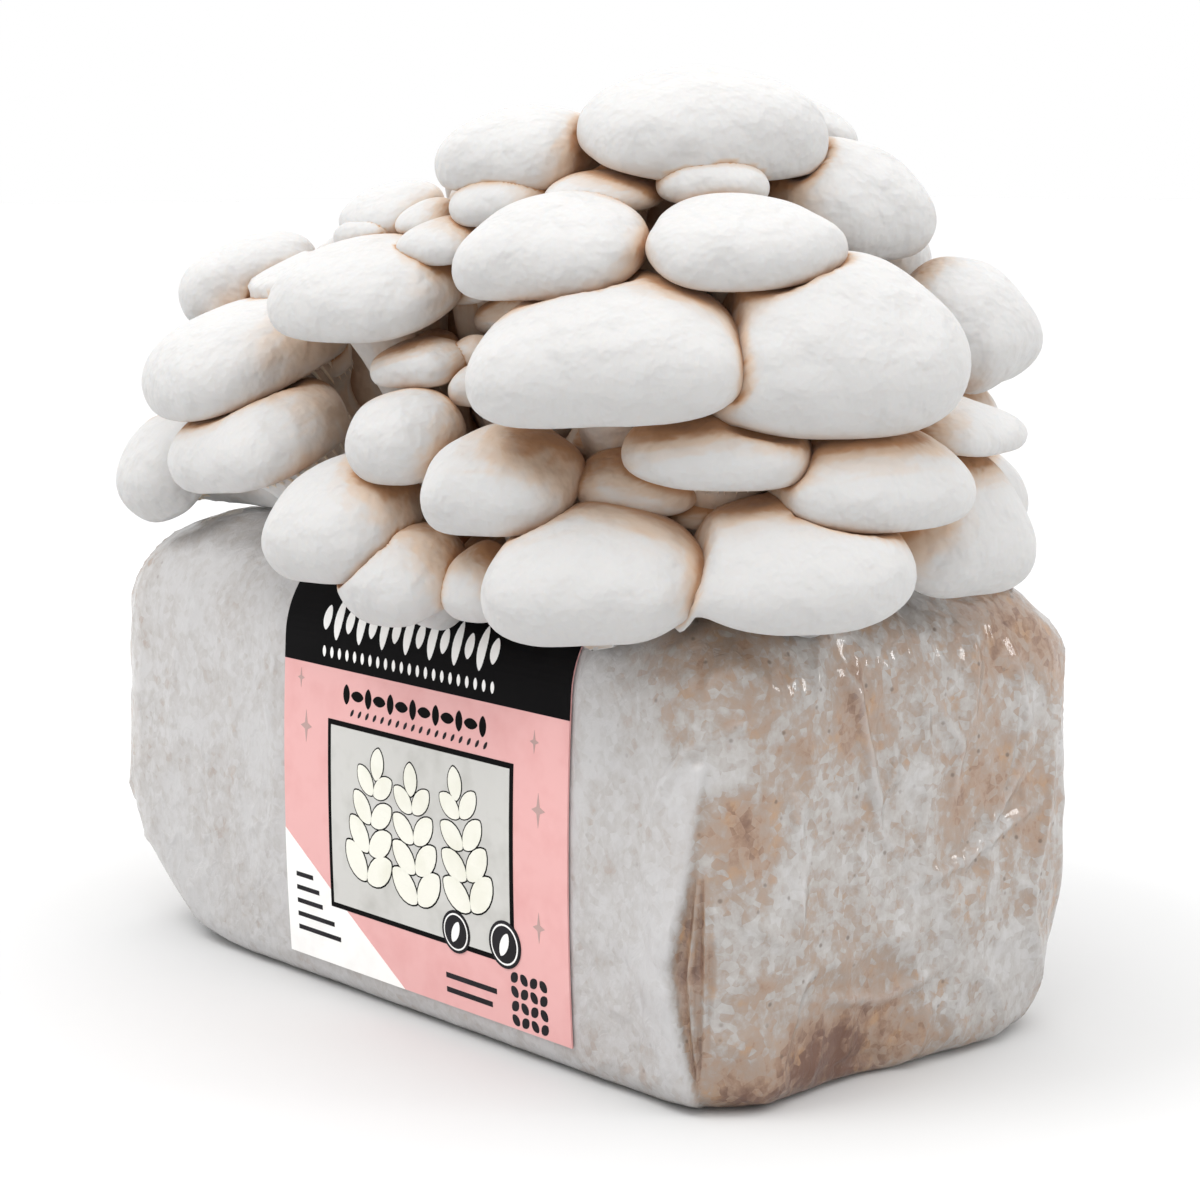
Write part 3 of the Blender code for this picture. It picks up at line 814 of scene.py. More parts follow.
class Mushroom:
    """One oyster mushroom: its cap, the underside and the stem as one closed skin."""

    FULL_SIZE = 25.5 * MM
    SHARES = np.linspace(0.0, 1.0, 25)
    BEARINGS = np.arange(48) / 48 * 2 * pi

    def __init__(self, name: str, row: tuple, seed: int, over: float = 0.0,
                 node: str | None = None) -> None:
        place, facing, lean, size = row
        self.name = name
        self.node = node
        self.centre = np.array(place) * MM
        self.corners = CORNERS.get(name.replace("_cap", ""), ())
        self.width, self.length, self.height = (value * MM for value in size)
        outward = np.array((cos(radians(facing)), sin(radians(facing)), 0.0))
        tilt = radians(lean)
        self.up = np.array((0, 0, cos(tilt))) + outward * sin(tilt)
        self.forward = outward * cos(tilt) - np.array((0, 0, sin(tilt)))
        self.side = np.cross(self.forward, self.up)
        self.layer = place[2] + over
        self.centre += self.up * 0.05 * self.height
        random = np.random.default_rng(seed)
        self.waves = [(n, random.uniform(-1, 1) * size_, random.uniform(0, 2 * pi))
                      for n, size_ in ((2, 0.035), (3, 0.04), (4, 0.028), (5, 0.02), (7, 0.01))]
        self.peak = (random.uniform(-0.07, 0.07) * self.width, random.uniform(0.0, 0.09) * self.length)
        self.seed = seed
        self.press = np.zeros((len(self.SHARES), len(self.BEARINGS)))
        bearings = np.linspace(-pi, pi, 181)
        x, y = self.outline(bearings)
        turn = np.arctan2(x, y)
        order = np.argsort(turn)
        self._turn = turn[order]
        self._reach = np.hypot(x, y)[order]
        self._bearing = bearings[order]

    def outline(self, bearing: Array) -> tuple[Array, Array]:
        """Across and along distance of the margin at each bearing."""
        wave = 1 + sum(size * np.cos(n * bearing + phase) for n, size, phase in self.waves)
        for degrees, spread, extra in self.corners:
            away = (bearing - radians(degrees) + pi) % (2 * pi) - pi
            wave = wave + extra * np.exp(-(away / radians(spread)) ** 2)
        power = 2 + PROFILE.square * (1 + np.cos(bearing))
        wave = wave * (np.abs(np.sin(bearing)) ** power + np.abs(np.cos(bearing)) ** power) ** (
            -1 / power)
        across = self.width / 2 * np.sin(bearing) * (1 + PROFILE.fan * np.cos(bearing))
        return across * wave, self.length / 2 * np.cos(bearing) * wave

    def place(self, across: Array, along: Array, rise: Array) -> Array:
        """World positions of local ones."""
        return (self.centre + np.asarray(across)[..., None] * self.side
                + np.asarray(along)[..., None] * self.forward
                + np.asarray(rise)[..., None] * self.up)

    def local(self, points: Array) -> tuple[Array, Array, Array]:
        """Outline share, bearing and rise of world positions."""
        away = points - self.centre
        across = away @ self.side
        along = away @ self.forward
        turn = np.arctan2(across, along)
        reach = np.interp(turn, self._turn, self._reach, period=2 * pi)
        bearing = np.interp(turn, self._turn, self._bearing)
        return np.hypot(across, along) / reach, bearing, away @ self.up

    def pressed(self, share: Array, bearing: Array) -> Array:
        """How far the upper skin is pushed down there by the caps above."""
        row = np.clip(share, 0, 1) * (len(self.SHARES) - 1)
        col = (bearing / (2 * pi) * len(self.BEARINGS)) % len(self.BEARINGS)
        r0 = np.minimum(row.astype(int), len(self.SHARES) - 2)
        c0 = col.astype(int) % len(self.BEARINGS)
        c1 = (c0 + 1) % len(self.BEARINGS)
        fr = row - r0
        fc = col - np.floor(col)
        low = self.press[r0, c0] * (1 - fc) + self.press[r0, c1] * fc
        high = self.press[r0 + 1, c0] * (1 - fc) + self.press[r0 + 1, c1] * fc
        return low * (1 - fr) + high * fr

    def top_rise(self, share: Array, bearing: Array) -> Array:
        """Rise of the upper skin."""
        return self.height * PROFILE.top(share) - self.pressed(share, bearing)

    def under_rise(self, share: Array, bearing: Array) -> Array:
        """Rise of the underside, pushed down where the flesh above is squeezed flat."""
        rest = self.height * PROFILE.under(share)
        thickness = self.height * (PROFILE.top(share) - PROFILE.under(share))
        squeezed = np.maximum(0, self.pressed(share, bearing) - 0.55 * thickness)
        return rest - squeezed

    def tuck_under(self, others: list["Mushroom"], room: float) -> None:
        """Press this cap down wherever another one lies over it.

        Args:
            others: The mushrooms that lie over this one.
            room: Air left between two skins.
        """
        near = [other for other in others if np.linalg.norm(other.centre - self.centre)
                < (other.width + self.width) * 0.62 and other.width > self.FULL_SIZE]
        if not near or self.width < self.FULL_SIZE:
            return
        share, bearing = np.meshgrid(self.SHARES, self.BEARINGS, indexing="ij")
        x, y = self.outline(bearing)
        start = self.place(x * share, y * share, self.height * PROFILE.top(share))
        flat = start.reshape(-1, 3)
        steps = np.arange(0, 26) * 0.7 * MM
        drop = np.zeros(len(flat))
        for _ in range(2):
            for other in near:
                needed = self.drop_below(other, flat, drop, steps, room)
                drop = np.maximum(drop, needed)
        grid = drop.reshape(share.shape)
        for _ in range(2):
            padded = np.concatenate([grid[:1], grid, grid[-1:]])
            radial = (padded[:-2] + padded[2:]) / 2
            around = (np.roll(grid, 1, axis=1) + np.roll(grid, -1, axis=1)) / 2
            grid = 0.5 * grid + 0.25 * radial + 0.25 * around
            grid[0] = grid[0].mean()
        self.press = np.minimum(grid, 1.5 * self.height)

    def drop_below(self, other: "Mushroom", points: Array, drop: Array, steps: Array,
                   room: float) -> Array:
        """Drop that takes each point below the underside of another cap.

        Args:
            other: The cap above.
            points: Points of this cap's upper skin.
            drop: Drop that they have already.
            steps: Further drops to try, rising.
            room: Air left between two skins.

        Returns:
            The least total drop that clears the other cap.
        """
        needed = drop.copy()
        open_points = np.ones(len(points), dtype=bool)
        for step in steps:
            index = np.nonzero(open_points)[0]
            if len(index) == 0:
                break
            moved = points[index] - self.up * (drop[index] + step)[:, None]
            share, bearing, rise = other.local(moved)
            margin = room / (other.width / 2)
            inside = share < 1 + margin
            low = other.under_rise(np.minimum(share, 1), bearing) - room
            high = other.top_rise(np.minimum(share, 1), bearing) + 7 * MM
            inside &= (rise > low) & (rise < high)
            needed[index] = drop[index] + step
            open_points[index[~inside]] = False
        needed[open_points] = drop[open_points]
        return needed

    def root(self) -> Array:
        """Point on the clump base that the stem grows from."""
        return ClumpBase.root(self.attach()[0])

    def attach(self) -> tuple[Array, float]:
        """Top of the stem and its radius."""
        bearing = np.array([pi])
        share = 0.34
        x, y = self.outline(bearing)
        rise = self.under_rise(np.array([share]), bearing)
        radius = 0.19 * self.width
        return self.place(x * share, y * share, rise)[0], radius

    def skin(self, around: int, dome: int, rim: int, underside: int, stem: int) -> tuple:
        """Points of the whole mushroom as rings from the top of the cap to the root.

        Args:
            around: Points in each ring.
            dome: Rings of the upper skin.
            rim: Rings of the rolled margin.
            underside: Rings of the underside.
            stem: Rings of the stem.

        Returns:
            The points as (rings, around, 3), and the number of rings in the cap's skin.
        """
        bearing = np.arange(around) / around * 2 * pi
        x, y = self.outline(bearing)
        rings = []
        power = 2 / PROFILE.power
        for k in range(1, dome + 1):
            turn = k / dome * pi / 2
            share = np.full(around, sin(turn) ** power)
            lift = self.height * (PROFILE.equator + (1 - PROFILE.equator) * cos(turn) ** power)
            drift = (1 - share ** 2) * min(1.0, 2 * sin(turn))
            rings.append(self.place(x * share + self.peak[0] * drift, y * share + self.peak[1] * drift,
                                    lift - self.pressed(share, bearing)))
        for k in range(1, rim + 1):
            turn = k / rim * pi / 2
            share = np.full(around, PROFILE.turn_in + (1 - PROFILE.turn_in) * cos(turn) ** power)
            sunk = self.under_rise(share, bearing) - self.height * PROFILE.under(share)
            blend = k / rim
            press = -self.pressed(share, bearing) * (1 - blend) + sunk * blend
            lift = self.height * PROFILE.equator * (1 - sin(turn) ** power)
            rings.append(self.place(x * share, y * share, lift + press))
        top, radius = self.attach()
        root = self.root()
        middle = top - self.centre
        cx, cy = middle @ self.side, middle @ self.forward
        for k in range(1, underside + 1):
            step = k / underside
            share = PROFILE.turn_in * (1 - step)
            flare = radius * (1.5 - 0.0 * step)
            px = x * share + (cx + flare * np.sin(bearing)) * step
            py = y * share + (cy + flare * np.cos(bearing)) * step
            reach, turned, _ = self.local(self.place(px, py, np.zeros(around)))
            hollow = 0.10 * self.height * sin(pi * min(1.0, step * 1.1))
            funnel = 0.30 * self.height * max(0.0, step - 0.55) / 0.45 * step
            rings.append(self.place(px, py, self.under_rise(reach, turned) + hollow - funnel))
        cap_rings = len(rings)
        rings.extend(self.stem_rings(top - self.up * 0.30 * self.height, root, radius, bearing, stem))
        return np.array(rings), cap_rings

    def stem_rings(self, top: Array, root: Array, radius: float, bearing: Array,
                   count: int) -> list[Array]:
        """Rings down a curved stem, from under the cap into the clump base.

        Args:
            top: Centre of the stem's top ring.
            root: Centre of its last ring.
            radius: Radius at the top.
            bearing: Bearings of the points in a ring.
            count: The number of rings.

        Returns:
            The rings.
        """
        span = float(np.linalg.norm(top - root))
        low = ClumpBase.outward(root)
        handles = (top, top - self.up * 0.38 * span, root + low * 0.35 * span, root - low * 3 * MM)
        side, forward = Vector(self.side), Vector(self.forward)
        last = Vector(-self.up)
        rings = []
        for k in range(1, count + 1):
            t = k / count
            weights = ((1 - t) ** 3, 3 * (1 - t) ** 2 * t, 3 * (1 - t) * t ** 2, t ** 3)
            centre = sum(w * h for w, h in zip(weights, handles))
            slopes = [handles[i + 1] - handles[i] for i in range(3)]
            slope = ((1 - t) ** 2 * slopes[0] + 2 * (1 - t) * t * slopes[1] + t ** 2 * slopes[2])
            tangent = Vector(slope).normalized()
            turn = last.rotation_difference(tangent)
            side.rotate(turn)
            forward.rotate(turn)
            last = tangent
            size = radius * (1.0 + 0.5 * (1 - t) ** 5 - 0.22 * t + 0.35 * max(0.0, t - 0.8) / 0.2)
            wobble = 1 + 0.06 * np.cos(3 * bearing + 5 * t + self.seed)
            rings.append(centre + size * wobble[:, None] * (
                np.sin(bearing)[:, None] * np.array(side) + np.cos(bearing)[:, None] * np.array(forward)))
        return rings

    def gill_lines(self, spacing: float, steps: int) -> tuple[list, list]:
        """Lines along the underside, from the margin in to the stem.

        Args:
            spacing: Distance between gills at the margin.
            steps: Points along each line.

        Returns:
            Vertices and edges of the lines.
        """
        around = max(24, int(pi * (self.width + self.length) / 2 * 0.85 / spacing))
        top, radius = self.attach()
        middle = top - self.centre
        cx, cy = middle @ self.side, middle @ self.forward
        points, edges = [], []
        for gill in range(around):
            bearing = np.array([gill / around * 2 * pi])
            x, y = self.outline(bearing)
            end = 1.0 if gill % 2 == 0 else 0.55
            first = len(points)
            for k in range(steps):
                step = 0.02 + (end - 0.02) * k / (steps - 1)
                share = PROFILE.turn_in * 0.97 * (1 - step)
                flare = radius * 1.5
                px = x * share + (cx + flare * np.sin(bearing)) * step
                py = y * share + (cy + flare * np.cos(bearing)) * step
                reach, turned, _ = self.local(self.place(px, py, np.zeros(1)))
                hollow = 0.10 * self.height * sin(pi * min(1.0, step * 1.1))
                funnel = 0.30 * self.height * max(0.0, step - 0.55) / 0.45 * step
                rise = self.under_rise(reach, turned) + hollow - funnel
                points.append(self.place(px, py, rise)[0])
            edges.extend((first + k, first + k + 1) for k in range(steps - 1))
        return points, edges


@dataclass
class ClumpBase:
    """Lumpy tissue on top of the block that every stem grows from."""

    half: tuple = (60 * MM, 28 * MM, 44 * MM)
    floor: float = 94.4 * MM
    lumps: float = 0.07
    rings: int = 46
    around: int = 150
    pins_per_m2: float = 9000.0

    HALF = np.array((60, 28, 44)) * MM
    FLOOR = 94.4 * MM
    ROOT_DROP = 0.62
    LOWEST = 7 * MM

    @classmethod
    def root(cls, attach: Array) -> Array:
        """Point on the base below and inwards of a stem's top."""
        rise = max((attach[2] - cls.FLOOR) * cls.ROOT_DROP, cls.LOWEST)
        way = np.array((attach[0] / cls.HALF[0], attach[1] / cls.HALF[1], rise / cls.HALF[2]))
        way /= np.linalg.norm(way)
        return way * cls.HALF * 0.97 + np.array((0, 0, cls.FLOOR))

    @classmethod
    def outward(cls, point: Array) -> Array:
        """Direction away from the base at a point on it."""
        way = (point - np.array((0, 0, cls.FLOOR))) / cls.HALF ** 2
        return way / np.linalg.norm(way)

    def build(self) -> bpy.types.Object:
        """Make the base and its pins as one piece.

        Returns:
            The finished piece.
        """
        points = []
        for ring in range(self.rings):
            up = ring / self.rings * pi / 2
            for step in range(self.around):
                turn = step / self.around * 2 * pi
                points.append((self.half[0] * cos(up) * cos(turn),
                               self.half[1] * cos(up) * sin(turn), self.half[2] * sin(up)))
        points.append((0, 0, self.half[2]))
        points = np.array(points)
        lump = 0.5 + 0.5 * value_noise(points, 13, 2.0)
        knot = np.abs(value_noise(points, 5, 4.0))
        points *= (1 - self.lumps * lump - 0.05 * knot)[:, None]
        points[:, 2] += self.floor
        faces = grid_faces(self.rings, self.around)
        last = (self.rings - 1) * self.around
        top = len(points) - 1
        faces += [(last + i, top, last + (i + 1) % self.around) for i in range(self.around)]
        faces.append(tuple(range(self.around)))
        tissue = FusedTissue().material()
        item = make_piece("clump_tissue", points, faces, [tissue])
        point_outwards(item)
        pins = self.pins(item, tissue)
        join_mesh(item, pins)
        return stand_for(item, Slot.CLUMP_BASE, "clump_base")

    def pins(self, host: bpy.types.Object, tissue: bpy.types.Material) -> bpy.types.Mesh:
        """Pinheads scattered over the base by Geometry Nodes.

        Args:
            host: The base.
            tissue: Their material.

        Returns:
            All the pinheads as one mesh.
        """
        pin = self.pinhead(tissue)
        tree, given, result = new_geometry_tree("pinheads", (
            ("Density", "NodeSocketFloat", 1.0), ("Seed", "NodeSocketInt", 3),
            ("Smallest", "NodeSocketFloat", 0.6), ("Largest", "NodeSocketFloat", 1.6),
            ("Pin", "NodeSocketObject", None), ("Flesh", "NodeSocketMaterial", None),
        ))
        spots = add_node(tree, "GeometryNodeDistributePointsOnFaces", {}, {
            "Mesh": given.outputs["Geometry"], "Density": given.outputs["Density"],
            "Seed": given.outputs["Seed"]})
        shape = add_node(tree, "GeometryNodeObjectInfo", {}, {"Object": given.outputs["Pin"]})
        size = add_node(tree, "FunctionNodeRandomValue", {}, {
            2: given.outputs["Smallest"], 3: given.outputs["Largest"],
            "Seed": given.outputs["Seed"]}, data_type="FLOAT")
        placed = add_node(tree, "GeometryNodeInstanceOnPoints", {}, {
            "Points": spots.outputs["Points"], "Instance": shape.outputs["Geometry"],
            "Rotation": spots.outputs["Rotation"], "Scale": size.outputs[1]})
        real = add_node(tree, "GeometryNodeRealizeInstances", {},
                        {"Geometry": placed.outputs["Instances"]})
        dressed = add_node(tree, "GeometryNodeSetMaterial", {}, {
            "Geometry": real.outputs["Geometry"], "Material": given.outputs["Flesh"]})
        tree.links.new(dressed.outputs["Geometry"], result.inputs["Geometry"])
        mesh = grow(tree, host, {"Density": self.pins_per_m2, "Seed": 3, "Smallest": 0.6,
                                 "Largest": 1.6, "Pin": pin, "Flesh": tissue})
        bpy.data.objects.remove(pin, do_unlink=True)
        return mesh

    def pinhead(self, tissue: bpy.types.Material) -> bpy.types.Object:
        """One pinhead, 5 mm tall, standing on the origin.

        Args:
            tissue: Its material.

        Returns:
            The object.
        """
        profile = ((0.9, -1.0), (0.8, 1.5), (0.9, 3.0), (1.7, 3.6), (1.5, 4.4), (0.8, 5.0))
        points = []
        for radius, z in profile:
            for step in range(10):
                turn = step / 10 * 2 * pi
                points.append((radius * cos(turn) * MM, radius * sin(turn) * MM, z * MM))
        points += [(0, 0, -1.0 * MM), (0, 0, 5.15 * MM)]
        faces = grid_faces(len(profile), 10)
        bottom, top = len(points) - 2, len(points) - 1
        last = (len(profile) - 1) * 10
        faces += [(i, (i + 1) % 10, bottom) for i in range(10)]
        faces += [(last + i, top, last + (i + 1) % 10) for i in range(10)]
        item = make_piece("pinhead", np.array(points), faces, [tissue])
        point_outwards(item)
        return item


def join_mesh(item: bpy.types.Object, mesh: bpy.types.Mesh) -> None:
    """Add another mesh's faces to a piece and drop that mesh.

    Args:
        item: The piece. It gets the mesh's materials that it has not yet.
        mesh: The mesh to add.
    """
    slots = []
    for material in mesh.materials:
        if material is not None and material.name not in item.data.materials:
            item.data.materials.append(material)
        slots.append(item.data.materials.find(material.name) if material is not None else 0)
    body = bmesh.new()
    body.from_mesh(item.data)
    first = len(body.faces)
    body.from_mesh(mesh)
    body.faces.ensure_lookup_table()
    for face in body.faces[first:]:
        face.material_index = slots[face.material_index] if slots else 0
        face.smooth = True
    body.to_mesh(item.data)
    body.free()
    bpy.data.meshes.remove(mesh)


@dataclass
class Clump:
    """All the mushrooms, pressed together as they grew."""

    room: float = 0.5 * MM
    around: int = 72
    small_around: int = 40
    reach: float = 24 * MM
    rays: int = 14
    gill_spacing: float = 1.5 * MM
    gill_depth: float = 1.7 * MM
    gill_thickness: float = 0.45 * MM
    mushrooms: list = field(default_factory=list)

    def plant(self) -> None:
        """Place every mushroom and press the lower ones under the upper ones."""
        seed = 11
        for row, places in MUSHROOMS.items():
            for number, values in enumerate(places, start=1):
                over = OVERLAP.get(f"{row}_{number}", 0.0)
                node = f"{row}_mushroom_{number}"
                self.mushrooms.append(Mushroom(f"{row}_cap_{number}", values, seed, over, node))
                seed += 1
        for number, values in enumerate(SPROUTS, start=1):
            self.mushrooms.append(Mushroom(f"sprout_{number}", values, seed))
            seed += 1
        self.mushrooms.sort(key=lambda mushroom: -mushroom.layer)
        for number, mushroom in enumerate(self.mushrooms):
            mushroom.tuck_under(self.mushrooms[:number], self.room)

    def build(self) -> list[bpy.types.Object]:
        """Make every mushroom with its skin, gills and painted shade in the hollows between them.

        Returns:
            The finished pieces.
        """
        self.plant()
        skin = CapSkin().material()
        flesh = GillFlesh().material()
        made = []
        for mushroom in self.mushrooms:
            made.append((mushroom, self.body(mushroom, skin)))
        self.shade_in_hollows([item for _, item in made])
        tree = self.gill_tree()
        pieces = []
        for mushroom, item in made:
            if mushroom.width > 18 * MM:
                join_mesh(item, self.gills(mushroom, tree, flesh))
            nodes = [mushroom.node] if mushroom.node else []
            pieces.append(stand_for(item, Slot.MUSHROOM, *nodes))
        return pieces

    def body(self, mushroom: Mushroom, skin: bpy.types.Material) -> bpy.types.Object:
        """Skin one mushroom from the top of its cap to its root.

        Args:
            mushroom: The mushroom.
            skin: Its material.

        Returns:
            The object.
        """
        small = mushroom.width < 18 * MM
        around = self.small_around if small else self.around
        rings, cap_rings = mushroom.skin(around, 14 if small else 22, 7, 9, 12)
        points = rings.reshape(-1, 3)
        lump = value_noise(points, 16, mushroom.seed)
        fine = value_noise(points, 5, mushroom.seed + 0.5)
        size = mushroom.height * 0.035
        shift = (lump * size + fine * size * 0.18)[:, None] * mushroom.up
        shift[cap_rings * around:] *= 0.4
        points = points + shift
        points = BAG.clear(points, 1.3 * MM)
        root_rings = slice((len(rings) - 3) * around, None)
        points[root_rings] = rings.reshape(-1, 3)[root_rings]
        pole = mushroom.place(0, 0, mushroom.height * PROFILE.top(np.zeros(1))
                              - mushroom.pressed(np.zeros(1), np.zeros(1)))
        pole = pole + mushroom.up * mushroom.height * 0.035 * value_noise(pole, 16, mushroom.seed)[0]
        foot = rings[-1].mean(axis=0)[None]
        points = np.concatenate([points, pole.reshape(1, 3), foot])
        faces = grid_faces(len(rings), around)
        last = (len(rings) - 1) * around
        top, bottom = len(points) - 2, len(points) - 1
        faces += [(i, (i + 1) % around, top) for i in range(around)]
        faces += [(last + i, bottom, last + (i + 1) % around) for i in range(around)]
        item = make_piece(mushroom.name, points, faces, [skin])
        point_outwards(item)
        return item

    def shade_in_hollows(self, items: list[bpy.types.Object]) -> None:
        """Store how much painted shade each vertex gets, from how much of the flesh around it hides it.

        Args:
            items: The mushrooms.
        """
        points, faces = [], []
        for item in items:
            base = len(points)
            points.extend(vertex.co.copy() for vertex in item.data.vertices)
            faces.extend(tuple(base + i for i in face.vertices) for face in item.data.polygons)
        ring = ClumpBase.HALF * 0.95
        tree = BVHTree.FromPolygons(points, faces)
        spread = []
        for k in range(self.rays):
            lift = sqrt(1 - (k + 0.5) / self.rays)
            flat = sqrt(1 - lift * lift)
            turn = k * pi * (3 - sqrt(5))
            spread.append((flat * cos(turn), flat * sin(turn), lift))
        for item in items:
            values = []
            for vertex in item.data.vertices:
                normal = vertex.normal
                first = normal.orthogonal().normalized()
                second = normal.cross(first)
                start = vertex.co + normal * 0.25 * MM
                shade = 0.0
                for a, b, c in spread:
                    way = first * a + second * b + normal * c
                    hit = tree.ray_cast(start, way, self.reach)
                    if hit[3] is not None:
                        # Flesh above a point counts more, so the painted shade falls on skin lying under
                        # other caps.
                        above = 0.45 + 1.1 * min(1.0, max(0.0, way.z + 0.4))
                        shade += above * (1 - 0.6 * hit[3] / self.reach)
                values.append(shade / self.rays)
            store(item, "painted_shade_amount", np.array(values))

    def gill_tree(self) -> bpy.types.NodeTree:
        """Geometry Nodes that turn lines on the underside into thin hanging blades.

        Returns:
            The tree.
        """
        tree, given, result = new_geometry_tree("gill_blades", (
            ("Depth", "NodeSocketFloat", self.gill_depth),
            ("Thickness", "NodeSocketFloat", self.gill_thickness),
            ("Up", "NodeSocketVector", None), ("Flesh", "NodeSocketMaterial", None),
        ))
        lines = add_node(tree, "GeometryNodeMeshToCurve", {}, {"Mesh": given.outputs["Geometry"]})
        along = add_node(tree, "GeometryNodeSplineParameter")
        arch = add_node(tree, "ShaderNodeMath", {1: pi * 0.86}, {0: along.outputs["Factor"]},
                        operation="MULTIPLY")
        swell = add_node(tree, "ShaderNodeMath", {}, {0: arch.outputs[0]}, operation="SINE")
        size = add_node(tree, "ShaderNodeMath", {1: 0.9, 2: 0.1}, {0: swell.outputs[0]},
                        operation="MULTIPLY_ADD")
        upright = add_node(tree, "GeometryNodeSetCurveNormal", {}, {
            "Curve": lines.outputs["Curve"], "Normal": given.outputs["Up"]}, mode="FREE")
        sized = add_node(tree, "GeometryNodeSetCurveRadius", {}, {
            "Curve": upright.outputs["Curve"], "Radius": size.outputs[0]})
        blade = add_node(tree, "GeometryNodeCurvePrimitiveCircle", {"Resolution": 4, "Radius": 1.0},
                         mode="RADIUS")
        half = add_node(tree, "ShaderNodeMath", {1: 0.5}, {0: given.outputs["Thickness"]},
                        operation="MULTIPLY")
        shape = add_node(tree, "ShaderNodeCombineXYZ", {"Z": 1.0}, {
            "X": given.outputs["Depth"], "Y": half.outputs[0]})
        flat = add_node(tree, "GeometryNodeTransform", {}, {
            "Geometry": blade.outputs["Curve"], "Scale": shape.outputs[0]})
        body = add_node(tree, "GeometryNodeCurveToMesh", {"Fill Caps": True}, {
            "Curve": sized.outputs["Curve"], "Profile Curve": flat.outputs["Geometry"]})
        if "Scale" in body.inputs:
            tree.links.new(size.outputs[0], body.inputs["Scale"])
        real = add_node(tree, "GeometryNodeRealizeInstances", {},
                        {"Geometry": body.outputs["Mesh"]})
        dressed = add_node(tree, "GeometryNodeSetMaterial", {}, {
            "Geometry": real.outputs["Geometry"], "Material": given.outputs["Flesh"]})
        tree.links.new(dressed.outputs["Geometry"], result.inputs["Geometry"])
        return tree

    def gills(self, mushroom: Mushroom, tree: bpy.types.NodeTree,
              flesh: bpy.types.Material) -> bpy.types.Mesh:
        """Gill blades of one cap.

        Args:
            mushroom: The mushroom.
            tree: The gill tree.
            flesh: The gills' material.

        Returns:
            The blades as one mesh.
        """
        points, edges = mushroom.gill_lines(self.gill_spacing, 7)
        points = BAG.clear(np.array(points), 1.6 * MM)
        mesh = bpy.data.meshes.new("gill_lines")
        mesh.from_pydata([tuple(p) for p in points], edges, [])
        host = bpy.data.objects.new("gill_lines", mesh)
        bpy.context.scene.collection.objects.link(host)
        depth = self.gill_depth * min(1.0, mushroom.width / (34 * MM))
        blades = grow(tree, host, {"Depth": depth, "Thickness": self.gill_thickness,
                                   "Up": tuple(mushroom.up), "Flesh": flesh})
        bpy.data.objects.remove(host, do_unlink=True)
        return blades


@dataclass(frozen=True)
class Patch:
    """Round area on the bag where sawdust shows through the felt."""

    place: Point
    radius: float
    amount: float


@dataclass(frozen=True)
class Crease:
    """Raised fold of the film along a line of places on the bag, sizes in mm."""

    line: tuple
    height: float
    width: float


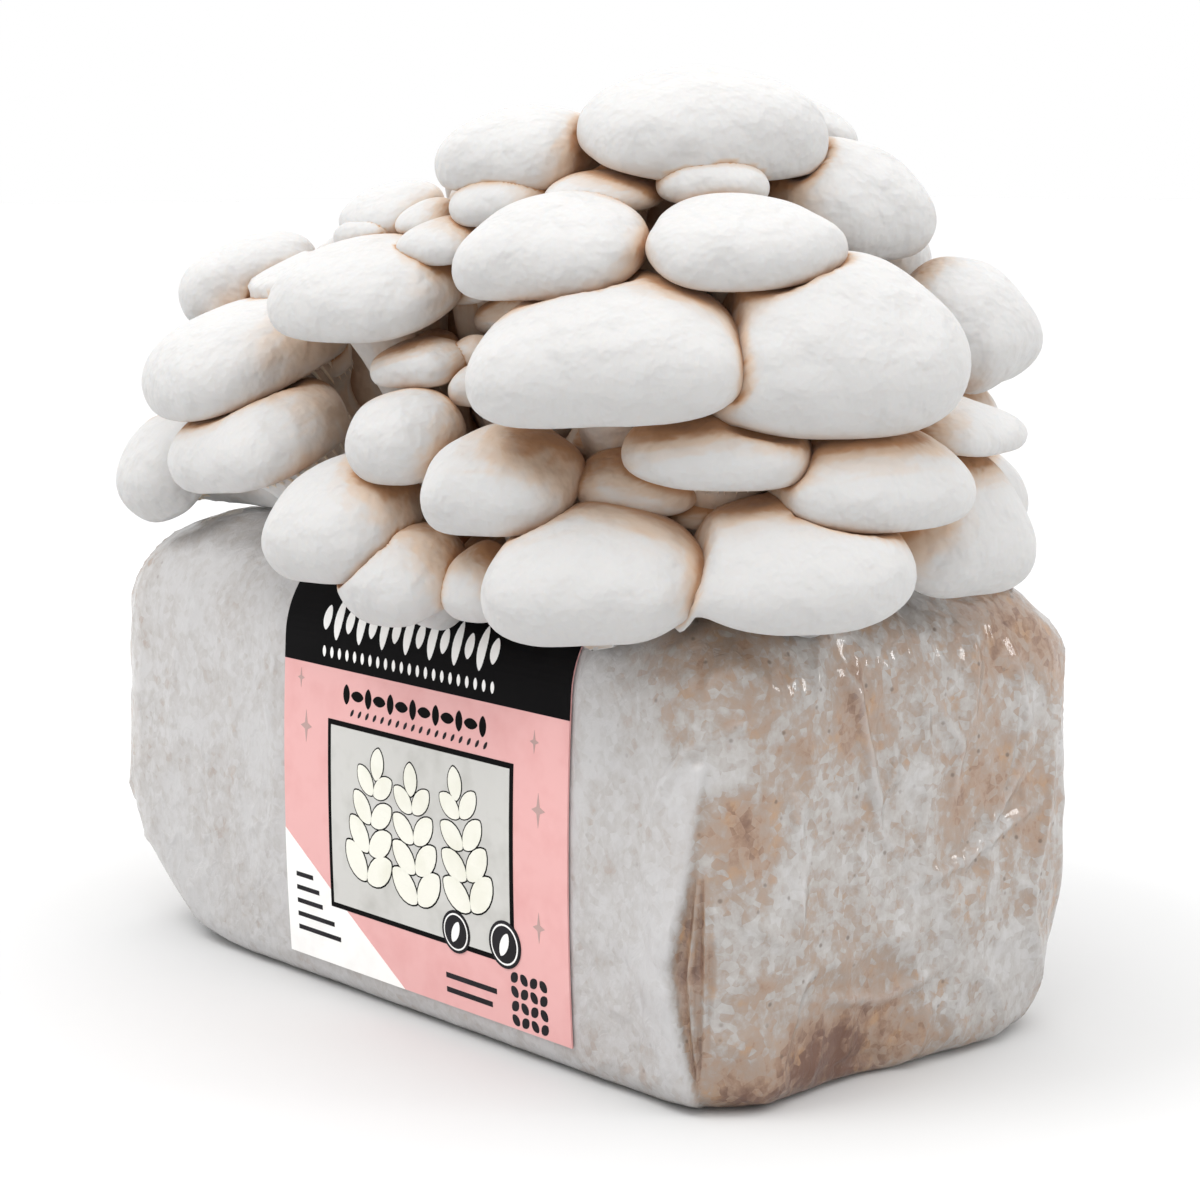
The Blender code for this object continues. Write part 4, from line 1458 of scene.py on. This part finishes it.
@dataclass
class GrowBlock:
    """The sawdust block and the film that clings to it."""

    long: int = 176
    short: int = 104
    corner: int = 44
    heel_steps: int = 8
    wall_steps: int = 72
    shoulder_steps: int = 18
    opening: tuple = (148 * MM, 57 * MM)

    CORNER = (86.5, -37.5)
    FOLD_LEVELS = (3, 14, 28, 47, 58, 66)
    FOLD_EDGE = (7.9, 5.2, 3.1, 7.1, 8.4, 9.6)
    FOLD_INNER = (9.5, 11.2, 12.4, 11.3, 9.0, 9.6)
    DENT = (99, -13, 2)

    chips_per_m2: float = 70000.0
    patches: tuple = (
        Patch((99, -44, 58), 5, 0.22), Patch((101, -41, 52), 6, 0.26),
        Patch((101, 24, 60), 12, 0.24), Patch((101, 12, 50), 9, 0.20),
        Patch((91, -38, 1), 13, 0.34), Patch((100, -28, 5), 13, 0.32),
        Patch((100, -16, 10), 10, 0.20), Patch((98, -12, 1), 9, 0.38),
        Patch((101, -14, 25), 13, 0.14), Patch((100, -17, 73), 7, 0.26),
        Patch((98, 27, 84), 12, 0.36), Patch((100, 40, 78), 9, 0.24),
        Patch((101, 34, 40), 7, 0.14), Patch((94, -42, 82), 12, 0.18),
        Patch((94, -49, 20), 6, -0.20), Patch((101, -4, 29), 9, -0.28),
        Patch((101, 30, 67), 11, -0.34), Patch((101, 26, 15), 11, -0.22),
        Patch((101, 0, 60), 9, -0.16), Patch((97, -47, 66), 6, -0.2),
        Patch((-101, 20, 14), 18, 0.34), Patch((-101, -20, 60), 16, 0.26),
        Patch((-101, 30, 76), 12, 0.24), Patch((-101, -30, 18), 10, -0.2),
        Patch((-101, 6, 44), 10, -0.24), Patch((60, 52, 14), 22, 0.26),
        Patch((-40, 52, 70), 20, 0.22), Patch((20, 52, 60), 16, 0.14),
        Patch((-84, 50, 20), 16, 0.28), Patch((84, -50, 84), 14, 0.12),
        Patch((-90, -48, 84), 14, 0.10), Patch((84, 46, 50), 14, 0.22),
    )
    creases: tuple = (
        Crease(((88, -34, 92), (94, -27, 88), (100, -17, 77), (101, -12, 61), (101, -10, 49),
                (101, -4, 44)), 1.1, 1.1),
        Crease(((85, -52, 58), (92, -50, 69), (98, -44, 74), (100, -35, 75)), 1.2, 1.0),
        Crease(((101, -3, 38), (101, 13, 40), (101, 24, 44), (101, 36, 48)), 1.1, 1.0),
        Crease(((101, 10, 34), (101, 18, 44), (101, 28, 52), (101, 33, 60)), 0.9, 1.0),
        Crease(((101, -34, 62), (101, -30, 48), (101, -32, 32)), 0.7, 1.0),
        Crease(((101, 4, 74), (101, 12, 62), (101, 10, 52)), 0.8, 1.1),
        Crease(((101, -26, 20), (101, -8, 16), (101, 10, 20)), 0.7, 1.1),
        Crease(((101, 20, 84), (101, 30, 74), (101, 34, 60)), 0.9, 1.1),
        Crease(((101, 42, 70), (100, 46, 40), (98, 46, 12)), 1.0, 1.1),
        Crease(((-101, -40, 88), (-101, -24, 74), (-101, -10, 56), (-101, 20, 46)), 1.1, 1.2),
        Crease(((-101, 42, 74), (-101, 45, 40), (-99, 44, 8)), 1.3, 1.0),
        Crease(((-100, -44, 64), (-101, -43, 36), (-98, -42, 8)), 1.3, 1.0),
        Crease(((-101, 6, 34), (-101, 18, 22), (-101, 34, 20)), 0.8, 1.1),
        Crease(((10, 52, 90), (14, 52, 50), (12, 52, 3)), 1.2, 0.9),
        Crease(((-70, 52, 86), (-62, 52, 50), (-66, 52, 14)), 0.8, 1.2),
        Crease(((74, 52, 80), (58, 52, 56), (50, 52, 30)), 0.9, 1.2),
    )

    def rings(self, offset: float, share: float = 1.0) -> Array:
        """Rings of the bag's form, offset outwards.

        Args:
            offset: Distance outwards from the film's outside.
            share: Fineness, 1 for the film.

        Returns:
            Points as (rings, around, 3).
        """
        long, short, corner = (max(4, int(n * share)) for n in (self.long, self.short, self.corner))
        levels = BAG.levels(max(3, int(self.heel_steps * share)),
                            max(4, int(self.wall_steps * share)),
                            max(4, int(self.shoulder_steps * share)))
        rings = []
        for inset, z in levels:
            low = offset * (1 - z / (BAG.height / 2))
            lift = -low if z < BAG.heel or z > BAG.height - BAG.shoulder else 0.0
            height = z + (lift if z > BAG.height / 2 else -offset * (1 - z / BAG.heel)
                          if z < BAG.heel else 0.0)
            rings.append(BAG.ring(inset - offset, height, long, short, corner))
        return np.array(rings)

    def crumple(self, points: Array) -> Array:
        """Height of the film's wrinkles at each point, in metres."""
        warp = np.stack([value_noise(points, 26, s) for s in (1.0, 2.0, 3.0)], axis=1)
        upright = points * np.array((1.0, 1.0, 0.55))
        large = 1 - np.abs(value_noise(upright + warp * 6 * MM, 19, 5.0)) * 2.4
        small = 1 - np.abs(value_noise(upright + warp * 3 * MM, 8, 6.0)) * 2.4
        swell = value_noise(points, 36, 7.0)
        ends = np.clip((np.abs(points[:, 0]) / MM - 82) / 14, 0, 1)
        back = np.clip(points[:, 1] / MM / 10 - 3.5, 0, 1)
        rough = np.maximum(ends, 0.5 * back)
        ridges = (0.35 + 0.75 * rough) * np.clip(large, 0, 1) ** 3
        ridges += (0.12 + 0.38 * rough) * np.clip(small, 0, 1) ** 3
        dent = np.exp(-(np.linalg.norm(points / MM - np.array(self.DENT), axis=1) / 9) ** 2)
        return (ridges + (0.5 + 0.9 * rough) * swell - 3.2 * dent) * MM

    def folds(self, points: Array) -> Array:
        """Height of the long folds at each point, in metres."""
        total = np.zeros(len(points))
        for crease in self.creases:
            best = np.full(len(points), 1.0)
            along = np.zeros(len(points))
            pieces = len(crease.line) - 1
            for number in range(pieces):
                start = np.array(crease.line[number]) * MM
                run = np.array(crease.line[number + 1]) * MM - start
                share = np.clip(((points - start) @ run) / (run @ run), 0, 1)
                away = np.linalg.norm(points - (start + share[:, None] * run), axis=1)
                closer = away < best
                best = np.where(closer, away, best)
                along = np.where(closer, (number + share) / pieces, along)
            taper = np.sin(np.clip(along, 0.05, 0.95) * pi) ** 0.5
            ridge = np.exp(-(best / (crease.width * MM)) ** 2)
            hollow = np.exp(-((best - 2.4 * crease.width * MM) / (1.4 * crease.width * MM)) ** 2)
            total += crease.height * MM * taper * (ridge - 0.35 * hollow)
        return total

    def corner_run(self, points: Array) -> tuple[Array, Array]:
        """Distance round the near corner from the front face's end, and height, in mm."""
        x, y, z = (points / MM).T
        turn = np.arctan2(x - self.CORNER[0], -(y - self.CORNER[1]))
        run = BAG.corner / MM * turn
        run = np.where(x < self.CORNER[0], x - self.CORNER[0], run)
        past = BAG.corner / MM * pi / 2 + (y - self.CORNER[1])
        run = np.where((y > self.CORNER[1]) & (x >= self.CORNER[0]), past, run)
        return np.where((y < 30) & (x > 0), run, -99.0), z

    def gusset(self, points: Array) -> tuple[Array, Array, Array]:
        """The tucked-in side fold at the near corner.

        Args:
            points: Places on the bag.

        Returns:
            Height in metres, how much of the flap and how much of the tuck is at each.
        """
        run, z = self.corner_run(points)
        edge = np.interp(z, self.FOLD_LEVELS, self.FOLD_EDGE)
        inner = np.interp(z, self.FOLD_LEVELS, self.FOLD_INNER)
        top = np.clip((67 - z) / 1.6, 0, 1)
        away = edge - run
        flap = np.clip(away / 0.9 + 0.5, 0, 1) * np.clip(1 - away / 13, 0, 1) * top
        room = np.maximum(inner - edge, 0.1)
        tuck = np.clip(-away / 1.0, 0, 1) * np.clip((inner - run) / 2.0, 0, 1)
        tuck *= np.clip((50 - z) / 10, 0, 1) * np.clip(z / 3, 0, 1)
        pleats = sum(np.exp(-((run - edge - room * share) / 0.55) ** 2) for share in (0.42, 0.76))
        lift = 1.3 * flap - 1.7 * tuck + 1.5 * tuck * pleats
        # The tuck's colour share drops on the pleat ridges, so the grooves between them get painted
        # shade.
        return lift * MM, flap, tuck * (1 - 0.6 * pleats)

    def normals(self, rings: Array) -> Array:
        """Outward direction at each point of the rings."""
        around = np.roll(rings, -1, axis=1) - np.roll(rings, 1, axis=1)
        upward = np.gradient(rings, axis=0)
        normal = np.cross(around, upward)
        return normal / np.maximum(np.linalg.norm(normal, axis=2), 1e-9)[..., None]

    def under_label(self, points: Array) -> Array:
        """1 behind the label, fading to 0 around it."""
        x, z = points[:, 0] / MM, points[:, 2] / MM
        inside_x = np.clip((np.minimum(x + 31, 63 - x) + 3) / 3, 0, 1)
        inside_z = np.clip((np.minimum(z - 3, 89 - z) + 3) / 3, 0, 1)
        return inside_x * inside_z * (points[:, 1] < -0.02)

    def film(self) -> bpy.types.Object:
        """Make the film with its wrinkles, folds and cut edge.

        Returns:
            The finished piece.
        """
        rings = self.rings(0.0)
        count, around = rings.shape[:2]
        normal = self.normals(rings).reshape(-1, 3)
        flat = rings.reshape(-1, 3)
        step, flap, tuck = self.gusset(flat)
        fold = self.folds(flat)
        lift = np.clip(self.crumple(flat) + fold + step, -3 * MM, 2.6 * MM)
        quiet = self.under_label(flat)
        lift = lift * (1 - quiet) + np.minimum(lift, 0) * 0.2 * quiet
        low = np.clip(flat[:, 2] / (3 * MM), 0.25, 1)
        moved = flat + normal * (lift * low)[:, None]
        moved[:, 2] = np.maximum(moved[:, 2], 0)
        outer = moved.reshape(count, around, 3)
        face = 1 - np.clip((np.abs(flat[:, 0]) / MM - 78) / 14, 0, 1)
        # Milky film with painted light: fold ridges get a painted highlight, the flap is paler as a
        # second layer of film and by painted highlight, the front and back are milkier, and the tuck is
        # less milky.
        milk_and_highlight = np.clip(fold / (1.1 * MM), 0, 1) * 0.45 + 0.36 * face + 0.62 * flap - 0.2 * tuck
        # The tuck is drawn browner, with painted shade between its pleats.
        bare = self.bareness(flat) + 0.5 * tuck - 0.1 * flap
        top = self.top_rings(outer[-1])
        rows = [outer[k] for k in range(count)] + top
        points = np.concatenate(rows)
        extra = len(points) - len(milk_and_highlight)
        milk_and_highlight = np.concatenate([milk_and_highlight, np.full(extra, 0.2)])
        bare = np.concatenate([bare, np.full(extra, 0.0)])
        faces = grid_faces(len(rows), around)
        last = (len(rows) - 1) * around
        faces.append(tuple(range(around)))
        faces.append(tuple(range(last, last + around)))
        item = make_piece("bag_film", points, faces, [GrowFilm().material()])
        point_outwards(item)
        store(item, "milk_and_highlight", milk_and_highlight)
        store(item, "bare", bare)
        return stand_for(item, Slot.FILM, "grow_bag")

    def top_rings(self, last: Array) -> list[Array]:
        """Rings from the shoulder in to the curled cut edge.

        Args:
            last: The shoulder's last ring.

        Returns:
            The rings.
        """
        around = len(last)
        turn = np.arctan2(last[:, 1] / self.opening[1], last[:, 0] / self.opening[0])
        half_x, half_y = self.opening[0] / 2, self.opening[1] / 2
        power = 5.0
        reach = (np.abs(np.cos(turn)) ** power + np.abs(np.sin(turn)) ** power) ** (-1 / power)
        ragged = 1 + 0.02 * np.sin(turn * 23) + 0.015 * np.sin(turn * 41 + 1)
        edge = np.stack([half_x * reach * np.cos(turn) * ragged,
                         half_y * reach * np.sin(turn) * ragged, last[:, 2]], axis=1)
        rings = []
        for step in (0.25, 0.5, 0.75, 0.9, 1.0):
            ring = last + (edge - last) * step
            ring[:, 2] += 0.8 * MM * step * (1 + np.sin(turn * 17 + 4 * step)) * 0.6
            rings.append(ring)
        lip = rings[-1] * np.array((0.985, 0.97, 1.0)) + np.array((0, 0, 0.3 * MM))
        well = lip * np.array((0.99, 0.98, 1.0)) - np.array((0, 0, 1.6 * MM))
        return rings + [lip, well]

    def block(self) -> bpy.types.Object:
        """Make the lumpy block inside the film, with its wood crumbs.

        Returns:
            The finished piece.
        """
        rings = self.rings(-(BAG.film + BAG.gap), 0.6)
        count, around = rings.shape[:2]
        normal = self.normals(rings).reshape(-1, 3)
        flat = rings.reshape(-1, 3)
        rough = value_noise(flat, 6, 9.0) * 0.30 + value_noise(flat, 2.5, 8.0) * 0.12 - 0.25
        follow = np.minimum(self.crumple(flat) * 0.6 - 0.2 * MM, 0.8 * MM)
        follow += np.minimum(self.gusset(flat)[0], 0)
        follow *= 1 - self.under_label(flat)
        moved = flat + normal * (rough * MM + follow)[:, None]
        moved[:, 2] = np.clip(moved[:, 2], 0.9 * MM, 94.0 * MM)
        points = moved.reshape(-1, 3)
        faces = grid_faces(count, around)
        faces.append(tuple(range(around)))
        faces.append(tuple(range((count - 1) * around, count * around)))
        material = MyceliumBlock().material()
        item = make_piece("sawdust_block", points, faces, [material])
        point_outwards(item)
        store(item, "bare", self.bareness(points))
        join_mesh(item, self.chips(item))
        return stand_for(item, Slot.SUBSTRATE, "substrate_block")

    def bareness(self, points: Array) -> Array:
        """How much sawdust shows through the felt at each point."""
        where = points / MM
        ends = np.clip((np.abs(where[:, 0]) - 88) / 10, 0, 1)
        low = np.clip((16 - where[:, 2]) / 16, 0, 1)
        near = np.clip((where[:, 0] - 56) / 30, 0, 1) * (1 - ends)
        bare = -0.09 + 0.17 * ends + 0.05 * low + 0.08 * near
        for patch in self.patches:
            away = np.linalg.norm(where - np.array(patch.place), axis=1)
            bare += patch.amount * np.exp(-(away / patch.radius) ** 2)
        return bare

    def chips(self, host: bpy.types.Object) -> bpy.types.Mesh:
        """Wood crumbs scattered over the block by Geometry Nodes.

        Args:
            host: The block.

        Returns:
            All the crumbs as one mesh.
        """
        wood = WoodChip().material()
        tree, given, result = new_geometry_tree("wood_crumbs", (
            ("Density", "NodeSocketFloat", 1.0), ("Seed", "NodeSocketInt", 8),
            ("Length", "NodeSocketFloat", 0.9 * MM), ("Wood", "NodeSocketMaterial", None),
        ))
        bare = add_node(tree, "GeometryNodeInputNamedAttribute", {"Name": "bare"},
                        data_type="FLOAT")
        share = add_node(tree, "ShaderNodeMapRange", {"From Min": 0.0, "From Max": 0.45,
                         "To Min": 0.04, "To Max": 1.0}, {"Value": bare.outputs["Attribute"]})
        dense = add_node(tree, "ShaderNodeMath", {}, {0: share.outputs[0],
                         1: given.outputs["Density"]}, operation="MULTIPLY")
        spots = add_node(tree, "GeometryNodeDistributePointsOnFaces", {}, {
            "Mesh": given.outputs["Geometry"], "Density": dense.outputs[0],
            "Seed": given.outputs["Seed"]})
        crumb = add_node(tree, "GeometryNodeMeshIcoSphere", {"Subdivisions": 1},
                         {"Radius": given.outputs["Length"]})
        size = add_node(tree, "FunctionNodeRandomValue",
                        {0: (0.25, 0.15, 0.10), 1: (1.0, 0.5, 0.22)},
                        {"Seed": given.outputs["Seed"]}, data_type="FLOAT_VECTOR")
        spin = add_node(tree, "FunctionNodeRandomValue", {2: 0.0, 3: 2 * pi},
                        {"Seed": given.outputs["Seed"]}, data_type="FLOAT")
        turned = add_node(tree, "FunctionNodeRotateRotation", {}, {
            0: spots.outputs["Rotation"]}, rotation_space="LOCAL")
        axis = add_node(tree, "FunctionNodeAxisAngleToRotation", {"Axis": (0, 0, 1)},
                        {"Angle": spin.outputs[1]})
        tree.links.new(axis.outputs[0], turned.inputs[1])
        placed = add_node(tree, "GeometryNodeInstanceOnPoints", {}, {
            "Points": spots.outputs["Points"], "Instance": crumb.outputs["Mesh"],
            "Rotation": turned.outputs[0], "Scale": size.outputs[0]})
        real = add_node(tree, "GeometryNodeRealizeInstances", {},
                        {"Geometry": placed.outputs["Instances"]})
        dressed = add_node(tree, "GeometryNodeSetMaterial", {}, {
            "Geometry": real.outputs["Geometry"], "Material": given.outputs["Wood"]})
        tree.links.new(dressed.outputs["Geometry"], result.inputs["Geometry"])
        return grow(tree, host, {"Density": self.chips_per_m2, "Seed": 8, "Length": 0.9 * MM,
                                 "Wood": wood})


def apply_modifiers(item: bpy.types.Object) -> None:
    """Make the modifiers' result the piece's own mesh."""
    bpy.context.view_layer.update()
    graph = bpy.context.evaluated_depsgraph_get()
    mesh = bpy.data.meshes.new_from_object(item.evaluated_get(graph))
    old = item.data
    item.modifiers.clear()
    item.data = mesh
    bpy.data.meshes.remove(old)


@dataclass
class Label:
    """Printed label on the front of the bag, with a generic design."""

    left: float = -30.0
    right: float = 62.0
    bottom: float = 6.5
    top: float = 90.0
    offset: float = 0.3
    thickness: float = 0.4
    ink: float = 0.04
    rise: float = 2.5
    step: float = 1.5
    layers: int = 0
    inks: dict = field(default_factory=dict)

    def surface(self, x: float, z: float, out: float) -> Point:
        """Place on the label's front, lifted by a distance in mm."""
        lift = self.offset + self.thickness + out
        return (x * MM, BAG.front(z * MM) - lift * MM, z * MM)

    def paper(self) -> bpy.types.Object:
        """Make the paper itself, bent to the bag.

        Returns:
            The finished piece.
        """
        columns = np.linspace(self.left, self.right, 47)
        rows = np.linspace(self.bottom, self.top, 61)
        points = []
        for depth in (0.0, -self.thickness):
            points += [self.surface(x, z, depth) for z in rows for x in columns]
        wide, tall = len(columns), len(rows)
        back = wide * tall
        faces = []
        for r in range(tall - 1):
            for c in range(wide - 1):
                a = r * wide + c
                faces.append((a, a + 1, a + wide + 1, a + wide))
                faces.append((back + a, back + a + wide, back + a + wide + 1, back + a + 1))
        rim = list(range(wide)) + [r * wide + wide - 1 for r in range(1, tall)]
        rim += [(tall - 1) * wide + c for c in range(wide - 2, -1, -1)]
        rim += [r * wide for r in range(tall - 2, 0, -1)]
        for i, a in enumerate(rim):
            b = rim[(i + 1) % len(rim)]
            faces.append((a, back + a, back + b, b))
        paper = PrintedPaper("coated_paper_pink", "E3ADAB", "DDA2A0").material()
        item = make_piece("label_paper", np.array(points), faces, [paper])
        point_outwards(item)
        item.data.set_sharp_from_angle(angle=radians(40))
        return stand_for(item, Slot.LABEL, "label")

    def print_shape(self, body: bmesh.types.BMesh, corners: list, level: int, ink: int) -> None:
        """Print one flat shape on the label.

        Args:
            body: The mesh that collects the prints.
            corners: Corners of the shape as (x, z) in mm.
            level: How many inks lie below it.
            ink: Its material number.
        """
        shape = bmesh.new()
        shape.faces.new([shape.verts.new((x, 0, z)) for x, z in corners])
        low, high = min(z for _, z in corners), max(z for _, z in corners)
        cuts = np.arange(np.ceil(low / self.step) * self.step, high, self.step)
        for z in cuts:
            bmesh.ops.bisect_plane(shape, geom=shape.verts[:] + shape.edges[:] + shape.faces[:],
                                   dist=1e-5, plane_co=(0, 0, z), plane_no=(0, 0, 1))
        bmesh.ops.triangulate(shape, faces=shape.faces[:])
        out = self.ink * (level + 1)
        lower = {}
        upper = {}
        for vert in shape.verts:
            upper[vert] = body.verts.new(self.surface(vert.co.x, vert.co.z, out))
            lower[vert] = body.verts.new(self.surface(vert.co.x, vert.co.z, -0.1))
        made = []
        for face in shape.faces:
            made.append(body.faces.new([upper[v] for v in face.verts]))
            made.append(body.faces.new([lower[v] for v in reversed(face.verts)]))
        for edge in shape.edges:
            if edge.is_boundary:
                a, b = edge.verts
                made.append(body.faces.new([upper[a], upper[b], lower[b], lower[a]]))
        for face in made:
            face.material_index = ink
        shape.free()

    def build(self) -> list[bpy.types.Object]:
        """Make the paper and its prints.

        Returns:
            The finished pieces.
        """
        inks = (
            PrintedPaper("label_ink_black", "060506", "0A090A", 0.6, 0.05),
            PrintedPaper("label_ink_white", "F7F6F4", "EFEDEA"),
            PrintedPaper("label_ink_grey", "C9C8C4", "B9B8B3"),
            PrintedPaper("label_ink_cream", "ECEBE0", "E3E2D4"),
            PrintedPaper("label_ink_dark", "1E1C1F", "2A272C", 0.5, 0.1),
            PrintedPaper("label_ink_taupe", "B59792", "A98C87"),
        )
        body = bmesh.new()
        for corners, level, ink in self.design():
            self.print_shape(body, [(x, z + self.rise) for x, z in corners], level, ink)
        bmesh.ops.recalc_face_normals(body, faces=body.faces[:])
        mesh = bpy.data.meshes.new("label_print")
        body.to_mesh(mesh)
        body.free()
        for ink in inks:
            mesh.materials.append(ink.material())
        item = bpy.data.objects.new("label_print", mesh)
        bpy.context.scene.collection.objects.link(item)
        return [self.paper(), stand_for(item, Slot.LABEL)]

    def design(self) -> list[tuple]:
        """All the printed shapes as corners, level and ink number."""
        black, white, grey, cream, dark, taupe = range(6)
        low = self.bottom - self.rise
        shapes = [
            (box_shape(self.left, 67.5, self.right, self.top - self.rise), 0, black),
            ([(self.left, low), (10, low), (self.left, 31)], 0, white),
            (box_shape(-14.2, 16.8, 46.0, 56.8), 1, black),
            (box_shape(-13.1, 17.9, 44.9, 55.7), 2, grey),
        ]
        for number in range(15):
            x = -16 + number * 3.9
            shapes.append((leaf_shape(x, 77.5, 2.6, 8.5 if number % 2 else 5.0, 0), 1, white))
        for number in range(22):
            x = -16 + number * 2.62
            shapes.append((leaf_shape(x, 70.6, 1.1, 2.4, 0), 1, white))
        for number in range(13):
            x = -8 + number * 3.7
            shapes.append((leaf_shape(x, 62.6, 2.2, 4.2, 90 if number % 2 else 0), 0, black))
        for number in range(18):
            shapes.append((leaf_shape(-6 + number * 2.55, 59.0, 0.8, 1.9, 35), 0, dark))
        shapes += self.picture(cream, black)
        for x, z, size in ((-22, 54, 6.0), (53.5, 49, 6.0), (53.5, 26, 5.4), (52, 62, 4.0),
                           (-24, 64, 3.6)):
            shapes.append((star_shape(x, z, size), 0, taupe))
        for x, z, radius in ((28, 20, 4.4), (43.2, 20.6, 4.8)):
            shapes.append((disc_shape(x, z, radius), 5, dark))
            shapes.append((disc_shape(x, z, radius * 0.86), 6, white))
            shapes.append((disc_shape(x, z, radius * 0.78), 7, dark))
            shapes.append((leaf_shape(x, z, radius * 0.5, radius * 1.1, 25), 8, white))
        for number in range(5):
            length = (6.0, 8.0, 9.0, 13.0, 15.0)[number]
            z = 21.0 - number * 2.9
            shapes.append((box_shape(-26.5, z, -26.5 + length, z + 1.0), 1, dark))
        for number in range(2):
            z = 9.8 - number * 3.0
            shapes.append((box_shape(24, z, 40 - number * 1.5, z + 1.1), 0, dark))
        for row in range(4):
            for column in range(4):
                x, z = 45.6 + column * 2.9, 5.8 + row * 2.9
                shapes.append((leaf_shape(x, z, 2.0, 2.7, 45 if (row + column) % 2 else -45), 0,
                               dark))
        return shapes

    def picture(self, cream: int, black: int) -> list[tuple]:
        """Generic sprigs of outlined leaves inside the frame."""
        shapes = []
        for x, z, lean in ((-1.5, 22, 8), (16, 20.5, -4), (33.5, 22.5, -10)):
            way = radians(lean)
            for pair in range(4):
                up = 6.2 * pair + 2.5
                cx, cz = x + sin(way) * up, z + cos(way) * up
                size = 10.5 - pair * 0.9
                for side in (-1, 1):
                    turn = lean + side * 48
                    px = cx + sin(radians(turn)) * size * 0.5
                    pz = cz + cos(radians(turn)) * size * 0.5
                    shapes.append((leaf_shape(px, pz, size * 0.62, size, turn), 3, black))
                    shapes.append((leaf_shape(px, pz, size * 0.55, size * 0.93, turn), 4, cream))
            tip_x, tip_z = x + sin(way) * 31, z + cos(way) * 31
            shapes.append((leaf_shape(tip_x, tip_z - 3, 4.8, 7.4, lean), 3, black))
            shapes.append((leaf_shape(tip_x, tip_z - 3, 4.2, 6.8, lean), 4, cream))
        return shapes


def box_shape(left: float, low: float, right: float, high: float) -> list:
    """Corners of an upright rectangle."""
    return [(left, low), (right, low), (right, high), (left, high)]


def disc_shape(x: float, z: float, radius: float) -> list:
    """Corners of a disc."""
    turns = [step / 32 * 2 * pi for step in range(32)]
    return [(x + radius * cos(t), z + radius * sin(t)) for t in turns]


def leaf_shape(x: float, z: float, width: float, length: float, turn: float) -> list:
    """Corners of a pointed leaf, turned clockwise from upright."""
    way = radians(turn)
    corners = []
    for step in range(20):
        t = step / 20 * 2 * pi
        across = width / 2 * sin(t) * abs(sin(t)) ** 0.35
        along = length / 2 * cos(t)
        corners.append((x + across * cos(way) + along * sin(way),
                        z - across * sin(way) + along * cos(way)))
    return corners


def star_shape(x: float, z: float, size: float) -> list:
    """Corners of a four-pointed sparkle."""
    corners = []
    for step in range(8):
        t = step / 8 * 2 * pi
        reach = size * (0.72 if step % 4 == 0 else 0.6) if step % 2 == 0 else size * 0.2
        corners.append((x + reach * sin(t) * 0.55, z + reach * cos(t) * 0.8))
    return corners


@dataclass
class Studio:
    """Plain pale floor, soft light and the camera at the photograph's angle."""

    azimuth: float = 48.8
    pitch: float = 8.84
    distance: float = 0.603
    aside: float = 0.007
    eye: float = 0.174
    lens: float = 85.5
    sky: float = 2.0
    dome: tuple = ((0.0, 0.5), (0.08, 0.5), (0.2, 0.38), (0.45, 0.4), (0.72, 1.0))

    def build(self) -> None:
        """Set the stage."""
        self.camera()
        self.floor()
        self.lights()

    def camera(self) -> None:
        """Place the camera."""
        a, p = radians(self.azimuth), radians(self.pitch)
        eye = Vector((sin(a) * self.distance + cos(a) * self.aside,
                      -cos(a) * self.distance + sin(a) * self.aside, self.eye))
        way = Vector((-sin(a) * cos(p), cos(a) * cos(p), -sin(p)))
        data = bpy.data.cameras.new("camera")
        data.lens = self.lens
        data.sensor_width = 36
        data.sensor_fit = "HORIZONTAL"
        item = bpy.data.objects.new("camera", data)
        bpy.context.scene.collection.objects.link(item)
        item.matrix_world = Matrix.Translation(eye) @ way.to_track_quat("-Z", "Y").to_matrix().to_4x4()
        bpy.context.scene.camera = item

    def floor(self) -> None:
        """Lay the backdrop paper."""
        corners = [(-9, -9, 0), (9, -9, 0), (9, 9, 0), (-9, 9, 0)]
        item = make_piece("floor", np.array(corners, dtype=float), [(0, 1, 2, 3)],
                          [StudioPaper().material()])

    def lights(self) -> None:
        """Light the set from a white dome and two wide soft lamps."""
        scene = bpy.context.scene
        scene.view_settings.view_transform = "Standard"
        scene.view_settings.look = "None"
        world = bpy.data.worlds.new("studio")
        world.use_nodes = True
        back = world.node_tree.nodes["Background"]
        tree = world.node_tree
        way = add_node(tree, "ShaderNodeTexCoord").outputs["Generated"]
        parts = add_node(tree, "ShaderNodeSeparateXYZ", {}, {0: way})
        ramp = add_node(tree, "ShaderNodeValToRGB", {}, {"Fac": parts.outputs["Z"]})
        stops = ramp.color_ramp.elements
        for place, share in self.dome[2:]:
            stops.new(place)
        for stop, (place, share) in zip(stops, self.dome):
            stop.position = place
            stop.color = (share, share, share, 1)
        tree.links.new(ramp.outputs["Color"], back.inputs["Color"])
        back.inputs["Strength"].default_value = self.sky
        scene.world = world
        for name, place, size, power in (
            ("key", (-0.25, -0.8, 1.35), 0.6, 6.0),
            ("fill", (1.15, 0.8, 0.55), 0.22, 2.2),
        ):
            data = bpy.data.lights.new(name, "AREA")
            data.size = size
            data.energy = power
            item = bpy.data.objects.new(name, data)
            scene.collection.objects.link(item)
            item.location = place
            item.rotation_euler = (Vector((0, 0, 0.1)) - Vector(place)).to_track_quat(
                "-Z", "Y").to_euler()


def main() -> None:
    """Build the grow kit piece by piece and set the stage."""
    logging.basicConfig(level=logging.INFO, format="%(message)s")
    block = GrowBlock()
    block.block()
    block.film()
    Label().build()
    ClumpBase().build()
    Clump().build()
    Studio().build()


if __name__ == "__main__":
    main()
